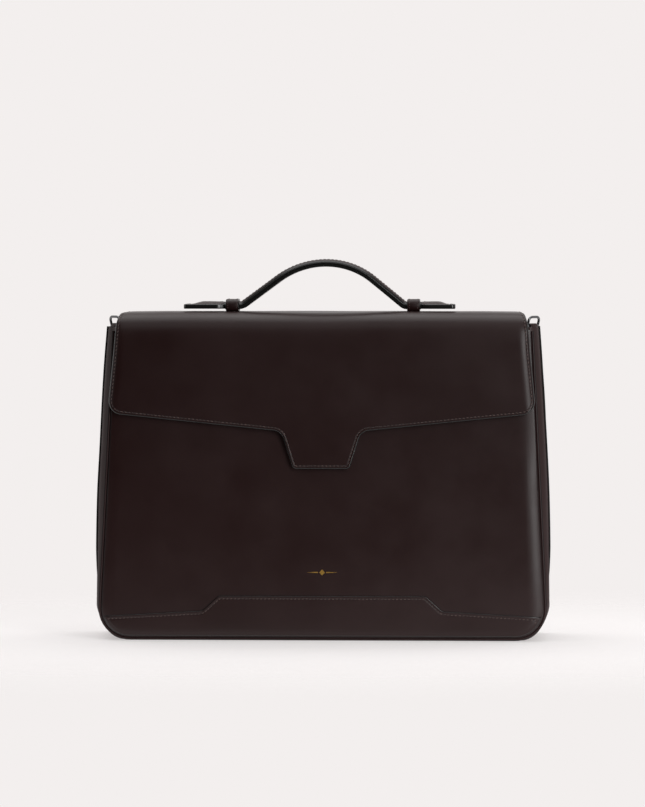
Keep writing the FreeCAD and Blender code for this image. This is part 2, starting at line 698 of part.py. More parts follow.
def main():
    os.makedirs("parts", exist_ok=True)
    for name, shape in make_pieces().items():
        solids = shape.Solids
        sound = all(s.isValid() and s.Volume > 0 for s in solids)
        print(f"{name:22s} solids {len(solids)} volume {shape.Volume:10.1f} {'ok' if sound else 'BAD'}")
        (solids[0] if len(solids) == 1 else Part.makeCompound(solids)).exportStep(f"parts/{name}.step")


main()
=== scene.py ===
"""The looks of the leather briefcase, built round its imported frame. Metres, +Z up, front towards -Y."""
import json
import logging
import math
from dataclasses import dataclass, field
from enum import Enum
from typing import Callable, Iterable, Sequence

import bmesh
import bpy
from bmesh.types import BMesh
from mathutils import Matrix, Vector, noise


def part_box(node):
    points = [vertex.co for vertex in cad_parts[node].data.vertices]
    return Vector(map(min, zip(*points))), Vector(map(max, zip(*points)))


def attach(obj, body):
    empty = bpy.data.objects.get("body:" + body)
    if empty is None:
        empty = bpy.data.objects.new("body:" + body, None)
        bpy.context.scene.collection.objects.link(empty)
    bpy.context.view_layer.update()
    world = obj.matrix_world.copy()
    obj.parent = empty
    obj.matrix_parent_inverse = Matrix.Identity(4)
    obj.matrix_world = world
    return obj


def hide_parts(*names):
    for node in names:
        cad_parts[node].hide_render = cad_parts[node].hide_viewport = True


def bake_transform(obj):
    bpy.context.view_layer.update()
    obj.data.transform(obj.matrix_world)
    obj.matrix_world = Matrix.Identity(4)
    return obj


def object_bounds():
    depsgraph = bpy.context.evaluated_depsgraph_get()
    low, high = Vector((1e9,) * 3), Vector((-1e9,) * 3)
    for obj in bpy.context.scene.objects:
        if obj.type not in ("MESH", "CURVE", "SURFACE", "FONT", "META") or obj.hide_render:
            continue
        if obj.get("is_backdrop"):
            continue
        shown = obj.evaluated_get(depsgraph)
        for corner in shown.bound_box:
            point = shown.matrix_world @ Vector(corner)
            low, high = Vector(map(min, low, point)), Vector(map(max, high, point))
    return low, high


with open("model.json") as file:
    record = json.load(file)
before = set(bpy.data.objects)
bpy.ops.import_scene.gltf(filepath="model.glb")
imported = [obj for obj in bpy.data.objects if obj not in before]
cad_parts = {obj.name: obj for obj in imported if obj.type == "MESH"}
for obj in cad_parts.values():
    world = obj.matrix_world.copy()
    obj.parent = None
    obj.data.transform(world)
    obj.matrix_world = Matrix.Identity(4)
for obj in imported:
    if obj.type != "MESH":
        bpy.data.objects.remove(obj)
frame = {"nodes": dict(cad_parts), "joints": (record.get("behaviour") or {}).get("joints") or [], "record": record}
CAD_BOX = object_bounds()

MM = 0.001
CORNER_CHORD = 1.6  # millimetres of arc to each segment of a rounded corner
CUT_SNAP = 0.02  # millimetres within which a cut takes a point that is already there
HIDDEN_LIFT = 0.02  # millimetres of air between two sewn faces, so that they don't coincide
LOG = logging.getLogger("briefcase")
Corner = tuple[float, float, float]
Place = Callable[[float, float, float], Vector]


class Side(Enum):
    """The two walls of the bag; the value is the sign of Y."""

    FRONT = -1
    BACK = 1


class Hand(Enum):
    """The two halves of the bag for someone facing its front; the value is the sign of X."""

    LEFT = -1
    RIGHT = 1


class Layer(Enum):
    """The three finishes of a cut leather piece; the value is the material index."""

    FACE = 0
    EDGE = 1
    BACK = 2


class Sewn(Enum):
    """What a row of stitches is made of; the value is the material index."""

    THREAD = 0
    # The second member is a dark dot of edge paint: painted shade in each awl piercing between two stitches.
    HOLE = 1


# ------------------------------------------------------------------ small tools
def smoothstep(low: float, high: float, value: float) -> float:
    """Runs smoothly from 0 at low to 1 at high."""
    t = min(max((value - low) / (high - low), 0.0), 1.0)
    return t * t * (3 - 2 * t)


def hermite(rows: Sequence[Sequence[float]], at: float) -> list[float]:
    """Reads a smooth curve through rows of numbers.

    Args:
        rows: rows whose first number rises; the others are carried along.
        at: the first number to read the curve at.

    Returns:
        The other numbers of the curve there.
    """
    at = min(max(at, rows[0][0]), rows[-1][0])
    k = max(i for i in range(len(rows) - 1) if rows[i][0] <= at)
    a, b = rows[k], rows[k + 1]
    before, after = rows[max(k - 1, 0)], rows[min(k + 2, len(rows) - 1)]
    span = b[0] - a[0]
    t = (at - a[0]) / span
    values = []
    for j in range(1, len(a)):
        slope_a = (b[j] - before[j]) / (b[0] - before[0]) * span
        slope_b = (after[j] - a[j]) / (after[0] - a[0]) * span
        values.append(
            (2 * t**3 - 3 * t**2 + 1) * a[j] + (t**3 - 2 * t**2 + t) * slope_a
            + (3 * t**2 - 2 * t**3) * b[j] + (t**3 - t**2) * slope_b)
    return values


def hex_linear(code: str) -> tuple[float, float, float, float]:
    """Turns an sRGB hex colour into linear light.

    Args:
        code: the colour, such as "#3a2220".

    Returns:
        Red, green, blue and a full alpha.
    """
    channels = [int(code[i:i + 2], 16) / 255 for i in (1, 3, 5)]
    linear = [c / 12.92 if c <= 0.04045 else ((c + 0.055) / 1.055) ** 2.4 for c in channels]
    return linear[0], linear[1], linear[2], 1.0


def add_node(tree: bpy.types.NodeTree, kind: str, settings: dict | None = None,
             links: dict | None = None) -> bpy.types.Node:
    """Adds one shader node.

    Args:
        tree: the node tree.
        kind: the node's type name.
        settings: input sockets (by name or number) or attributes, and their values.
        links: input sockets and the output sockets that feed them.

    Returns:
        The new node.
    """
    node = tree.nodes.new(kind)
    for key, value in (settings or {}).items():
        if isinstance(key, int) or key in node.inputs:
            node.inputs[key].default_value = value
        else:
            setattr(node, key, value)
    for key, source in (links or {}).items():
        tree.links.new(source, node.inputs[key])
    return node


# ------------------------------------------------------------------ the bag's shape
@dataclass(frozen=True)
class BagShape:
    """The bag's driving sizes in millimetres, the same as its frame's, and the surfaces they give.

    Attributes:
        roll_width: of the margin in which the wall's leather rolls in to its seam.
        roll_share: the share of the leather's thickness that is skived away at the seam.
        roll_power: how late in the margin the roll tightens.
        foot_tightness: how much narrower the margin is along the foot.
        swell: how far the filled wall stands proud in its middle.
        bare_from: the height where the swell starts to fade, under the flap.
        bare_to: the height where it has gone.
    """

    base_depth: float = 84.0
    lean: float = math.radians(2.0)
    half_width: float = 189.0
    side_taper: float = 0.0493
    wall_foot: float = 3.4
    wall_top: float = 264.0
    foot_radius: float = 24.0
    leather: float = 2.0
    welt: float = 1.2
    flap_gap: float = 2.4
    flap_thick: float = 3.2
    flap_top: float = 279.0
    bend_radius: float = 12.0
    bend_height: float = 267.0
    roll_width: float = 12.5
    roll_share: float = 0.6
    roll_power: float = 2.4
    foot_tightness: float = 1.6
    swell: float = 1.3
    bare_from: float = 120.0
    bare_to: float = 185.0

    @property
    def tilt(self) -> float:
        """The angle of the wall's side line off the vertical."""
        return math.atan(self.side_taper)

    @property
    def foot_centre(self) -> tuple[float, float]:
        """The centre of the right lower corner's arc."""
        z = self.wall_foot + self.foot_radius
        return self.half_width - (self.foot_radius + z * math.sin(self.tilt)) / math.cos(self.tilt), z

    def wall_half(self, v: float) -> float:
        """Half the wall's width at a height."""
        return self.half_width - self.side_taper * v

    def face_y(self, z: float) -> float:
        """Distance of the walls' outer faces from the middle plane."""
        return self.base_depth / 2 - z * math.tan(self.lean)

    def seat_y(self, z: float) -> float:
        """Distance of the gusset's sewn edges from the middle plane."""
        return self.face_y(z) - (self.leather + self.welt) / math.cos(self.lean)

    def on_wall(self, u: float, v: float, h: float, side: Side = Side.FRONT) -> Vector:
        """Carries a point drawn flat on to a wall.

        Args:
            u: how far across it is.
            v: how far up the wall.
            h: how far out from the wall's outer face.
            side: the wall.

        Returns:
            The point in metres.
        """
        y = -self.base_depth / 2 - h * math.cos(self.lean) + v * math.sin(self.lean)
        z = h * math.sin(self.lean) + v * math.cos(self.lean)
        return Vector((u, y if side is Side.FRONT else -y, z)) * MM

    def edge_distance(self, u: float, v: float) -> float:
        """How far a point of the wall is in from its side and foot edges.

        Args:
            u: how far across it is.
            v: how far up the wall.

        Returns:
            The distance, negative outside.
        """
        x, (cx, cz) = abs(u), self.foot_centre
        if x > cx and v < cz + (x - cx) * self.side_taper:
            return self.foot_radius - math.hypot(x - cx, v - cz)
        side = (self.half_width - x) * math.cos(self.tilt) - v * math.sin(self.tilt)
        return min(side, v - self.wall_foot)

    def roll(self, u: float, v: float) -> float:
        """How far a point is into the rolled margin, which is narrower along the foot.

        Args:
            u: how far across it is.
            v: how far up the wall.

        Returns:
            0 on the flat to 1 at the edge.
        """
        cz = self.foot_centre[1]
        down = min(max((cz - v) / self.foot_radius, 0.0), 1.0)
        distance = self.edge_distance(u, v) * (1 + self.foot_tightness * down**2)
        return 1 - min(max(distance / self.roll_width, 0.0), 1.0)

    def rolled(self, u: float, v: float, h: float) -> float:
        """Where a level of the wall's leather lies: it swells in the middle, and its skived edge rolls in.

        Args:
            u: how far across the point is.
            v: how far up the wall.
            h: its level on the flat leather.

        Returns:
            Its level on the worked leather.
        """
        share = (h + self.leather) / self.leather
        t = self.roll(u, v)
        under_flap = smoothstep(self.bare_from, self.bare_to, v)
        swell = self.swell * (1 - under_flap)
        drop = (swell + self.roll_share * self.leather) * t**self.roll_power
        return h + (swell - drop) * min(max(share, 0.0), 1.0)

    def wall_surface(self, side: Side) -> Place:
        """The placing of a piece on a wall whose leather rolls in at its edges."""
        return lambda u, v, h: self.on_wall(u, v, self.rolled(u, v, h), side)

    def outline(self, q: float) -> tuple[float, float, float, float]:
        """Reads the wall's outline, from the middle of its foot round a corner and up a side.

        Args:
            q: distance along the outline, negative towards the left.

        Returns:
            x, z and the outward direction's x and z.
        """
        (cx, cz), r = self.foot_centre, self.foot_radius
        along, sign = abs(q), math.copysign(1, q)
        if along < cx:
            return q, self.wall_foot, 0.0, -1.0
        angle = min(-math.pi / 2 + (along - cx) / r, self.tilt)
        nx, nz = math.cos(angle), math.sin(angle)
        rest = max(along - cx - (math.pi / 2 + self.tilt) * r, 0.0)
        return sign * (cx + r * nx - rest * nz), cz + r * nz + rest * nx, sign * nx, nz

    def outline_length(self, top: float) -> float:
        """Length of half the outline, from the middle of the foot up a side.

        Args:
            top: the height where it ends.

        Returns:
            The length.
        """
        (cx, cz), r = self.foot_centre, self.foot_radius
        start = cz + r * math.sin(self.tilt)
        return cx + (math.pi / 2 + self.tilt) * r + (top - start) / math.cos(self.tilt)


SHAPE = BagShape()


# ------------------------------------------------------------------ meshes
def finish_piece(name: str, bm: BMesh, materials: Sequence[bpy.types.Material],
                 crease: float = 38.0) -> bpy.types.Object:
    """Turns a bmesh into a smooth-shaded object with sharp creases.

    Args:
        name: the piece's name.
        bm: its mesh, in metres and in place; it is freed.
        materials: its material slots in order.
        crease: angle in degrees above which an edge stays sharp.

    Returns:
        The object.
    """
    bmesh.ops.recalc_face_normals(bm, faces=bm.faces[:])
    limit = math.radians(crease)
    for face in bm.faces:
        face.smooth = True
    for edge in bm.edges:
        if edge.is_manifold and edge.calc_face_angle(0.0) > limit:
            edge.smooth = False
    mesh = bpy.data.meshes.new(name)
    bm.to_mesh(mesh)
    bm.free()
    piece = bpy.data.objects.new(name, mesh)
    bpy.context.scene.collection.objects.link(piece)
    for material in materials:
        mesh.materials.append(material)
    LOG.info("%s: %d faces", name, len(mesh.polygons))
    return piece


def move_to_place(bm: BMesh, place: Place) -> None:
    """Carries a mesh drawn flat, in millimetres, to its place in metres."""
    for vert in bm.verts:
        vert.co = place(*vert.co)


def everywhere(_point: Vector) -> bool:
    """A seam that runs all along its line."""
    return True


@dataclass
class CutPiece:
    """A leather piece as it is cut and worked on the bench, flat, before it goes to its place.

    Attributes:
        corners: u, v and radius of each corner, anticlockwise.
        thickness: of the leather; its face is at level 0.
        edge_round: radius of the rounded, painted edge.
        seam_inset: distance of the seam from the edge, 0 for none.
        seam_half: half the width of the line that the seam presses in.
        seam_depth: depth of that line.
        rings: widths of the rings that let the edge roll.
        sewn: says of a point whether the seam runs there.
        u_cuts: where the mesh is divided across.
        v_cuts: where it is divided along.
        seam: the line that is sewn along, filled in by cut.
    """

    corners: Sequence[Corner]
    thickness: float
    edge_round: float = 0.8
    seam_inset: float = 0.0
    seam_half: float = 0.5
    seam_depth: float = 0.3
    rings: Sequence[float] = ()
    sewn: Callable[[Vector], bool] = everywhere
    u_cuts: Iterable[float] = ()
    v_cuts: Iterable[float] = ()
    seam: list[Vector] = field(default_factory=list)

    def cut(self) -> BMesh:
        """Makes the flat mesh, and fills in its seam.

        Returns:
            The mesh, in millimetres, with its face at level 0.
        """
        bm = bmesh.new()
        verts = [bm.verts.new((u, v, -self.thickness)) for u, v, _ in self.corners]
        bm.faces.new(verts)
        self._round_corners(bm, verts)
        face = bm.faces[:][0]
        face.material_index = Layer.BACK.value
        grown = bmesh.ops.extrude_face_region(bm, geom=[face])["geom"]
        top = next(item for item in grown if isinstance(item, bmesh.types.BMFace))
        bmesh.ops.translate(bm, verts=top.verts[:], vec=(0, 0, self.thickness))
        bmesh.ops.recalc_face_normals(bm, faces=bm.faces[:])
        for other in bm.faces:
            if abs(other.normal.z) < 0.5:
                other.material_index = Layer.EDGE.value
        top.material_index = Layer.FACE.value
        rims = [e for e in bm.edges if abs(e.verts[0].co.z - e.verts[1].co.z) < 1e-6]
        rounded = bmesh.ops.bevel(bm, geom=rims, offset=self.edge_round, offset_type="OFFSET", segments=3,
                                  profile=0.5, affect="EDGES", material=-1)["faces"]
        for other in rounded:
            other.material_index = Layer.EDGE.value
        if self.seam_inset:
            self._press_seam(bm, self._top_face(bm))
        for width in self.rings:
            bmesh.ops.inset_region(bm, faces=[self._top_face(bm)], thickness=width, depth=0.0,
                                   use_even_offset=True, use_boundary=True)
        self._divide(bm)
        return bm

    @staticmethod
    def _top_face(bm: BMesh) -> bmesh.types.BMFace:
        """The big upper face."""
        return max((f for f in bm.faces if f.normal.z > 0.99), key=lambda f: f.calc_area())

    def _round_corners(self, bm: BMesh, verts: Sequence[bmesh.types.BMVert]) -> None:
        """Bevels each corner to its radius.

        Args:
            bm: the mesh.
            verts: its corners, in the order of corners.
        """
        count = len(verts)
        points = [vert.co.copy() for vert in verts]
        for i, (vert, corner) in enumerate(zip(verts, self.corners)):
            if not corner[2]:
                continue
            back, ahead = points[i - 1] - points[i], points[(i + 1) % count] - points[i]
            reach = corner[2] / math.tan(back.angle(ahead) / 2)
            turn = math.pi - back.angle(ahead)
            segments = max(3, round(turn * corner[2] / CORNER_CHORD) + 2)
            bmesh.ops.bevel(bm, geom=[vert], offset=reach, offset_type="OFFSET", segments=segments,
                            profile=0.5, affect="VERTICES", material=-1)

    def _press_seam(self, bm: BMesh, top: bmesh.types.BMFace) -> None:
        """Insets the face into a pressed line that the stitches lie in.

        Args:
            bm: the mesh.
            top: its big upper face.
        """
        steps = ((self.seam_inset - self.edge_round - self.seam_half, 0.0),
                 (self.seam_half, -self.seam_depth), (self.seam_half, self.seam_depth))
        for number, (width, depth) in enumerate(steps):
            bmesh.ops.inset_region(bm, faces=[top], thickness=width, depth=depth,
                                   use_even_offset=True, use_boundary=True)
            if number == 1:
                self.seam = [vert.co.copy() for vert in top.verts]
                for vert in top.verts:
                    if not self.sewn(vert.co):
                        vert.co.z += self.seam_depth

    def _divide(self, bm: BMesh) -> None:
        """Cuts the mesh along straight lines, so that it can bend."""
        for normal, places in ((Vector((1, 0, 0)), self.u_cuts), (Vector((0, 1, 0)), self.v_cuts)):
            for spot in places:
                bmesh.ops.bisect_plane(bm, geom=bm.verts[:] + bm.edges[:] + bm.faces[:], dist=CUT_SNAP,
                                       plane_co=normal * spot, plane_no=normal)


@dataclass(frozen=True)
class Stitching:
    """A row of lockstitches: each is a short thread lying a little askew in its pressed line, with a dark dot of
    painted shade in the awl's piercing between two stitches.

    Attributes:
        pitch: from one stitch to the next.
        share: the share of the pitch that the thread covers.
        thread: half the thread's thickness, drawn at twice the real one so that it shows.
        slant: how far a stitch is turned from its line.
        hole: radius of the dark dot painted as the shade in the awl's piercing between two stitches, 0 for none.
        hole_sink: how far that dot's middle lies under the thread's.
    """

    pitch: float = 3.2
    share: float = 0.72
    thread: float = 0.38
    slant: float = math.radians(9)
    hole: float = 0.46
    hole_sink: float = 0.28

    def sew(self, bm: BMesh, seam: Sequence[Vector], sewn: Callable[[Vector], bool], level: float,
            closed: bool = True, lay: Place | None = None) -> None:
        """Adds the stitches of one seam to a flat mesh.

        Args:
            bm: the mesh that takes them.
            seam: the points of the seam in order.
            sewn: says of a point whether the seam runs there.
            level: height of the thread's middle.
            closed: whether the seam returns to its start.
            lay: carries the stitches to another face of the piece.
        """
        stitch = self._stitch()
        points = list(seam) + ([seam[0]] if closed else [])
        lengths = [(b - a).length for a, b in zip(points, points[1:])]
        total = sum(lengths)
        count = max(1, round(total / self.pitch))
        step, walked, index = total / count, 0.0, 0
        for number in range(count):
            target = (number + 0.5) * step
            while index < len(lengths) - 1 and walked + lengths[index] < target:
                walked += lengths[index]
                index += 1
            along = (points[index + 1] - points[index]).normalized()
            middle = points[index] + along * (target - walked)
            if not sewn(middle):
                continue
            turned = Matrix.Rotation(math.atan2(along.y, along.x) + self.slant, 4, "Z")
            size = Matrix.Diagonal((step * self.share / 2, self.thread, self.thread, 1))
            spot = Matrix.Translation((middle.x, middle.y, level)) @ turned @ size
            self._stamp(bm, stitch, spot, Sewn.THREAD, lay)
            # A dark ball of edge paint sunk between two stitches: painted shade in the awl's piercing.
            if self.hole:
                hole = middle + along * step / 2
                size = Matrix.Diagonal((self.hole, self.hole, self.hole / 2, 1))
                spot = Matrix.Translation((hole.x, hole.y, level - self.hole_sink)) @ size
                self._stamp(bm, stitch, spot, Sewn.HOLE, lay)
        bpy.data.meshes.remove(stitch)

    @staticmethod
    def _stamp(bm: BMesh, ball: bpy.types.Mesh, spot: Matrix, kind: Sewn, lay: Place | None) -> None:
        """Adds one ball, drawn out and put in its spot.

        Args:
            bm: the mesh that takes it.
            ball: the ball.
            spot: its size, turn and place.
            kind: what it stands for.
            lay: carries it to another face of the piece.
        """
        verts, faces = len(bm.verts), len(bm.faces)
        bm.from_mesh(ball)
        bm.verts.ensure_lookup_table()
        bm.faces.ensure_lookup_table()
        for vert in bm.verts[verts:]:
            vert.co = spot @ vert.co
            if lay:
                vert.co = lay(*vert.co)
        for face in bm.faces[faces:]:
            face.material_index = kind.value

    @staticmethod
    def _stitch() -> bpy.types.Mesh:
        """Makes one stitch, as a ball that is then drawn out.

        Returns:
            The ball's mesh.
        """
        ball = bmesh.new()
        bmesh.ops.create_uvsphere(ball, u_segments=8, v_segments=5, radius=1.0)
        stitch = bpy.data.meshes.new("stitch")
        ball.to_mesh(stitch)
        ball.free()
        return stitch


STITCHES = Stitching()


def swept(stations: int, section: Sequence[tuple[float, float]],
          place: Callable[[int, float, float], Vector], ring: bool = False) -> BMesh:
    """Sweeps a closed section along a line.

    Args:
        stations: number of places along the line.
        section: the section's points.
        place: gives the metre point for a station and a section point.
        ring: whether the last station meets the first; otherwise the ends are closed.

    Returns:
        The mesh.
    """
    bm = bmesh.new()
    rows = stations if ring else stations - 1
    columns = len(section)
    bmesh.ops.create_grid(bm, x_segments=rows, y_segments=columns, size=1)
    for vert in bm.verts:
        i = round((vert.co.x + 1) / 2 * rows)
        j = round((vert.co.y + 1) / 2 * columns)
        a, b = section[j % columns]
        vert.co = place(i % stations, a, b)
    bmesh.ops.remove_doubles(bm, verts=bm.verts[:], dist=1e-7)
    if not ring:
        bmesh.ops.holes_fill(bm, edges=[e for e in bm.edges if e.is_boundary], sides=0)
    return bm


def rounded_section(width: float, thick: float, radius: float, steps: int = 4, spread: int = 1,
                    low_radius: float | None = None) -> list[tuple[float, float]]:
    """The points of a rounded rectangle about its middle, anticlockwise.

    Args:
        width: its size along the first axis.
        thick: its size along the second axis.
        radius: of its corners.
        steps: segments in each corner.
        spread: segments of each long side.
        low_radius: of the two lower corners, where it differs.

    Returns:
        The points.
    """
    points = []
    for sx, sy, start in ((1, 1, 0), (-1, 1, 90), (-1, -1, 180), (1, -1, 270)):
        r = low_radius if low_radius and sy < 0 else radius
        a, b = width / 2 - r, thick / 2 - r
        for k in range(steps + 1):
            angle = math.radians(start + 90 * k / steps)
            points.append((sx * a + r * math.cos(angle), sy * b + r * math.sin(angle)))
        if start in (0, 180):
            first = points[-1]
            points += [(first[0] * (1 - 2 * k / spread), first[1]) for k in range(1, spread)]
    return points


def cuts(low: float, high: float, spacing: float) -> list[float]:
    """Evenly spaced cutting lines between two limits, off the middle so that they miss the corners.

    Args:
        low: the lower limit.
        high: the upper limit.
        spacing: about how far apart they are.

    Returns:
        The places of the lines.
    """
    count = max(2, round((high - low) / spacing))
    return [low + (high - low) * (k + 0.37) / count for k in range(count)]


# ------------------------------------------------------------------ finishes
def wave_scale(spacing_mm: float) -> float:
    """The scale at which a wave pattern's diagonal bands lie about this far apart."""
    return 1 / (spacing_mm * MM) / 20 * math.pi


@dataclass
class Surface:
    """A material in the making: its nodes, its shader and its Object coordinates."""

    name: str

    def __post_init__(self) -> None:
        """Makes the empty material."""
        self.material = bpy.data.materials.new(self.name)
        self.material.use_nodes = True
        self.tree = self.material.node_tree
        self.tree.nodes.clear()
        self.shader = add_node(self.tree, "ShaderNodeBsdfPrincipled")
        add_node(self.tree, "ShaderNodeOutputMaterial", {}, {"Surface": self.shader.outputs["BSDF"]})
        self.where = {"Vector": add_node(self.tree, "ShaderNodeTexCoord").outputs["Object"]}

    def work(self, tone: Sequence | None = None, stops: tuple[float, float] = (0.0, 1.0),
             relief: Sequence | None = None, rub: Sequence | None = None,
             span: tuple[float, float] = (0.0, 1.0)) -> None:
        """Gives the surface its colour, relief and polish from patterns.

        Args:
            tone: a pattern, and the hex colours where it is low and high.
            stops: how low and how high the pattern is there.
            relief: a pattern, how strongly it shows, and its height in millimetres.
            rub: a pattern, and the roughness where it is low and high.
            span: how low and how high the pattern is there.
        """
        if tone:
            ramp = add_node(self.tree, "ShaderNodeValToRGB", {}, {"Fac": tone[0]})
            for element, colour, stop in zip(ramp.color_ramp.elements, tone[1:], stops):
                element.position, element.color = stop, hex_linear(colour)
            self.tree.links.new(ramp.outputs["Color"], self.shader.inputs["Base Color"])
        if relief:
            bump = add_node(self.tree, "ShaderNodeBump", {"Strength": relief[1], "Distance": relief[2] * MM},
                            {"Height": relief[0]})
            self.tree.links.new(bump.outputs["Normal"], self.shader.inputs["Normal"])
        if rub:
            limits = {"From Min": span[0], "From Max": span[1], "To Min": rub[1], "To Max": rub[2]}
            worn = add_node(self.tree, "ShaderNodeMapRange", limits, {"Value": rub[0]})
            self.tree.links.new(worn.outputs["Result"], self.shader.inputs["Roughness"])

    def done(self, **sockets: float | tuple[float, ...]) -> bpy.types.Material:
        """Sets what is the same all over the surface.

        Args:
            sockets: the shader's sockets, with _ for a space, and their values.

        Returns:
            The finished material.
        """
        for key, value in sockets.items():
            self.shader.inputs[key.replace("_", " ")].default_value = value
        return self.material


@dataclass(frozen=True)
class BoxCalf:
    """Box calf leather, aniline dyed, pressed smooth and waxed.

    The dye is uneven in soft clouds, the pores are fine and shallow, and the wax gives a quiet, broad gloss.
    """

    name: str = "box_calf_dyed_waxed"
    deep: str = "#221110"
    light: str = "#2b1615"
    roughness: float = 0.38
    gloss: float = 0.4
    pore_mm: float = 0.8
    crease_mm: float = 4.0
    cloud_mm: float = 60.0
    relief: float = 0.22

    def build(self) -> bpy.types.Material:
        """Makes the material; the pores are drawn at four times the real size, so that they show."""
        surface = Surface(self.name)
        tree, where = surface.tree, surface.where
        clouds = add_node(tree, "ShaderNodeTexNoise", {"Scale": 1 / (self.cloud_mm * MM), "Detail": 4.0,
                                                       "Roughness": 0.6}, where)
        mottle = add_node(tree, "ShaderNodeTexNoise", {"Scale": 1 / (self.crease_mm * MM), "Detail": 5.0,
                                                       "Roughness": 0.7}, where)
        part = add_node(tree, "ShaderNodeMath", {"operation": "MULTIPLY", 1: 0.3}, {0: mottle.outputs["Fac"]})
        dye = add_node(tree, "ShaderNodeMath", {"operation": "MULTIPLY_ADD", 1: 0.7},
                       {0: clouds.outputs["Fac"], 2: part.outputs[0]})
        pores = add_node(tree, "ShaderNodeTexVoronoi", {"Scale": 1 / (self.pore_mm * MM)}, where)
        grain = add_node(tree, "ShaderNodeMath", {"operation": "MULTIPLY_ADD", 1: 0.6},
                         {0: pores.outputs["Distance"], 2: mottle.outputs["Fac"]})
        surface.work(tone=(dye.outputs[0], self.deep, self.light), stops=(0.15, 0.85),
                     relief=(grain.outputs[0], self.relief, 0.06), span=(0.3, 0.7),
                     rub=(clouds.outputs["Fac"], self.roughness - 0.05, self.roughness + 0.06))
        return surface.done(IOR=1.48, Specular_IOR_Level=self.gloss)


@dataclass(frozen=True)
class EdgePaint:
    """Acrylic edge paint, laid on in coats and burnished: a satin skin, a little uneven."""

    name: str = "edge_paint_burnished"
    colour: str = "#0e0d0d"
    worn: str = "#1b1a19"
    roughness: float = 0.24
    gloss: float = 0.7
    ripple_mm: float = 1.5

    def build(self) -> bpy.types.Material:
        """Makes the material."""
        surface = Surface(self.name)
        ripple = add_node(surface.tree, "ShaderNodeTexNoise", {"Scale": 1 / (self.ripple_mm * MM),
                                                               "Detail": 3.0}, surface.where).outputs["Fac"]
        surface.work(tone=(ripple, self.colour, self.worn), relief=(ripple, 0.25, 0.05))
        return surface.done(Roughness=self.roughness, Specular_IOR_Level=self.gloss)


@dataclass(frozen=True)
class WaxedThread:
    """Bonded polyester thread, twisted and waxed: a dull sheen with the twist just showing."""

    name: str = "polyester_thread_waxed"
    dark: str = "#2e1e1b"
    bright: str = "#5d4742"
    twist_mm: float = 0.9

    def build(self) -> bpy.types.Material:
        """Makes the material; the twist is drawn at 0.9 mm, coarser than the real one, so that it shows."""
        surface = Surface(self.name)
        twist = add_node(surface.tree, "ShaderNodeTexWave", {
            "wave_type": "BANDS", "bands_direction": "DIAGONAL", "Scale": wave_scale(self.twist_mm),
            "Distortion": 0.6}, surface.where)
        surface.work(tone=(twist.outputs["Fac"], self.dark, self.bright))
        return surface.done(Roughness=0.5, Sheen_Weight=0.25)


@dataclass(frozen=True)
class CottonTwill:
    """Cotton twill lining, woven: fine diagonal ribs, matt, with a soft nap."""

    name: str = "cotton_twill_woven"
    dark: str = "#1b1514"
    bright: str = "#2e2523"
    rib_mm: float = 1.2
    slub_mm: float = 2.5

    def build(self) -> bpy.types.Material:
        """Makes the material; the ribs are drawn at 1.2 mm, twice the real spacing, so that they show."""
        surface = Surface(self.name)
        ribs = add_node(surface.tree, "ShaderNodeTexWave", {
            "wave_type": "BANDS", "bands_direction": "DIAGONAL", "Scale": 2 * wave_scale(self.rib_mm),
            "Distortion": 0.4, "Detail": 2.0}, surface.where)
        slub = add_node(surface.tree, "ShaderNodeTexNoise", {"Scale": 1 / (self.slub_mm * MM), "Detail": 4.0},
                        surface.where)
        weave = add_node(surface.tree, "ShaderNodeMath", {"operation": "MULTIPLY"},
                         {0: ribs.outputs["Fac"], 1: slub.outputs["Fac"]}).outputs[0]
        surface.work(tone=(weave, self.dark, self.bright), stops=(0.0, 0.6), relief=(weave, 0.6, 0.15))
        return surface.done(Roughness=0.85, Sheen_Weight=0.3)


@dataclass(frozen=True)
class PlatedMetal:
    """Zinc or steel, polished and plated: a mirror dulled by fine wiping marks."""

    name: str
    colour: str
    roughness: float = 0.22
    mark_mm: float = 2.0

    def build(self) -> bpy.types.Material:
        """Makes the material."""
        surface = Surface(self.name)
        marks = add_node(surface.tree, "ShaderNodeTexNoise", {"Scale": 1 / (self.mark_mm * MM), "Detail": 6.0,
                                                              "Roughness": 0.7}, surface.where).outputs["Fac"]
        surface.work(relief=(marks, 0.08, 0.03), rub=(marks, self.roughness - 0.06, self.roughness + 0.12))
        return surface.done(Base_Color=hex_linear(self.colour), Metallic=1.0)


@dataclass(frozen=True)
class PressedBoard:
    """Fibre or leather board, pressed: short flecks, dry and matt."""

    name: str = "fibre_board_pressed"
    dark: str = "#5b452f"
    bright: str = "#8a6c4b"
    fleck_mm: float = 1.4

    def build(self) -> bpy.types.Material:
        """Makes the material."""
        surface = Surface(self.name)
        flecks = add_node(surface.tree, "ShaderNodeTexNoise", {"Scale": 1 / (self.fleck_mm * MM), "Detail": 6.0,
                                                               "Roughness": 0.75}, surface.where).outputs["Fac"]
        surface.work(tone=(flecks, self.dark, self.bright), stops=(0.35, 0.65), relief=(flecks, 0.3, 0.1))
        return surface.done(Roughness=0.85)


@dataclass(frozen=True)
class ZipNylon:
    """Nylon monofilament, coiled and heat set: hard, slightly glossy plastic."""

    name: str = "nylon_coil_heat_set"
    colour: str = "#141212"
    haze_mm: float = 0.8

    def build(self) -> bpy.types.Material:
        """Makes the material."""
        surface = Surface(self.name)
        haze = add_node(surface.tree, "ShaderNodeTexNoise", {"Scale": 1 / (self.haze_mm * MM), "Detail": 3.0},
                        surface.where)
        surface.work(rub=(haze.outputs["Fac"], 0.3, 0.5))
        return surface.done(Base_Color=hex_linear(self.colour))


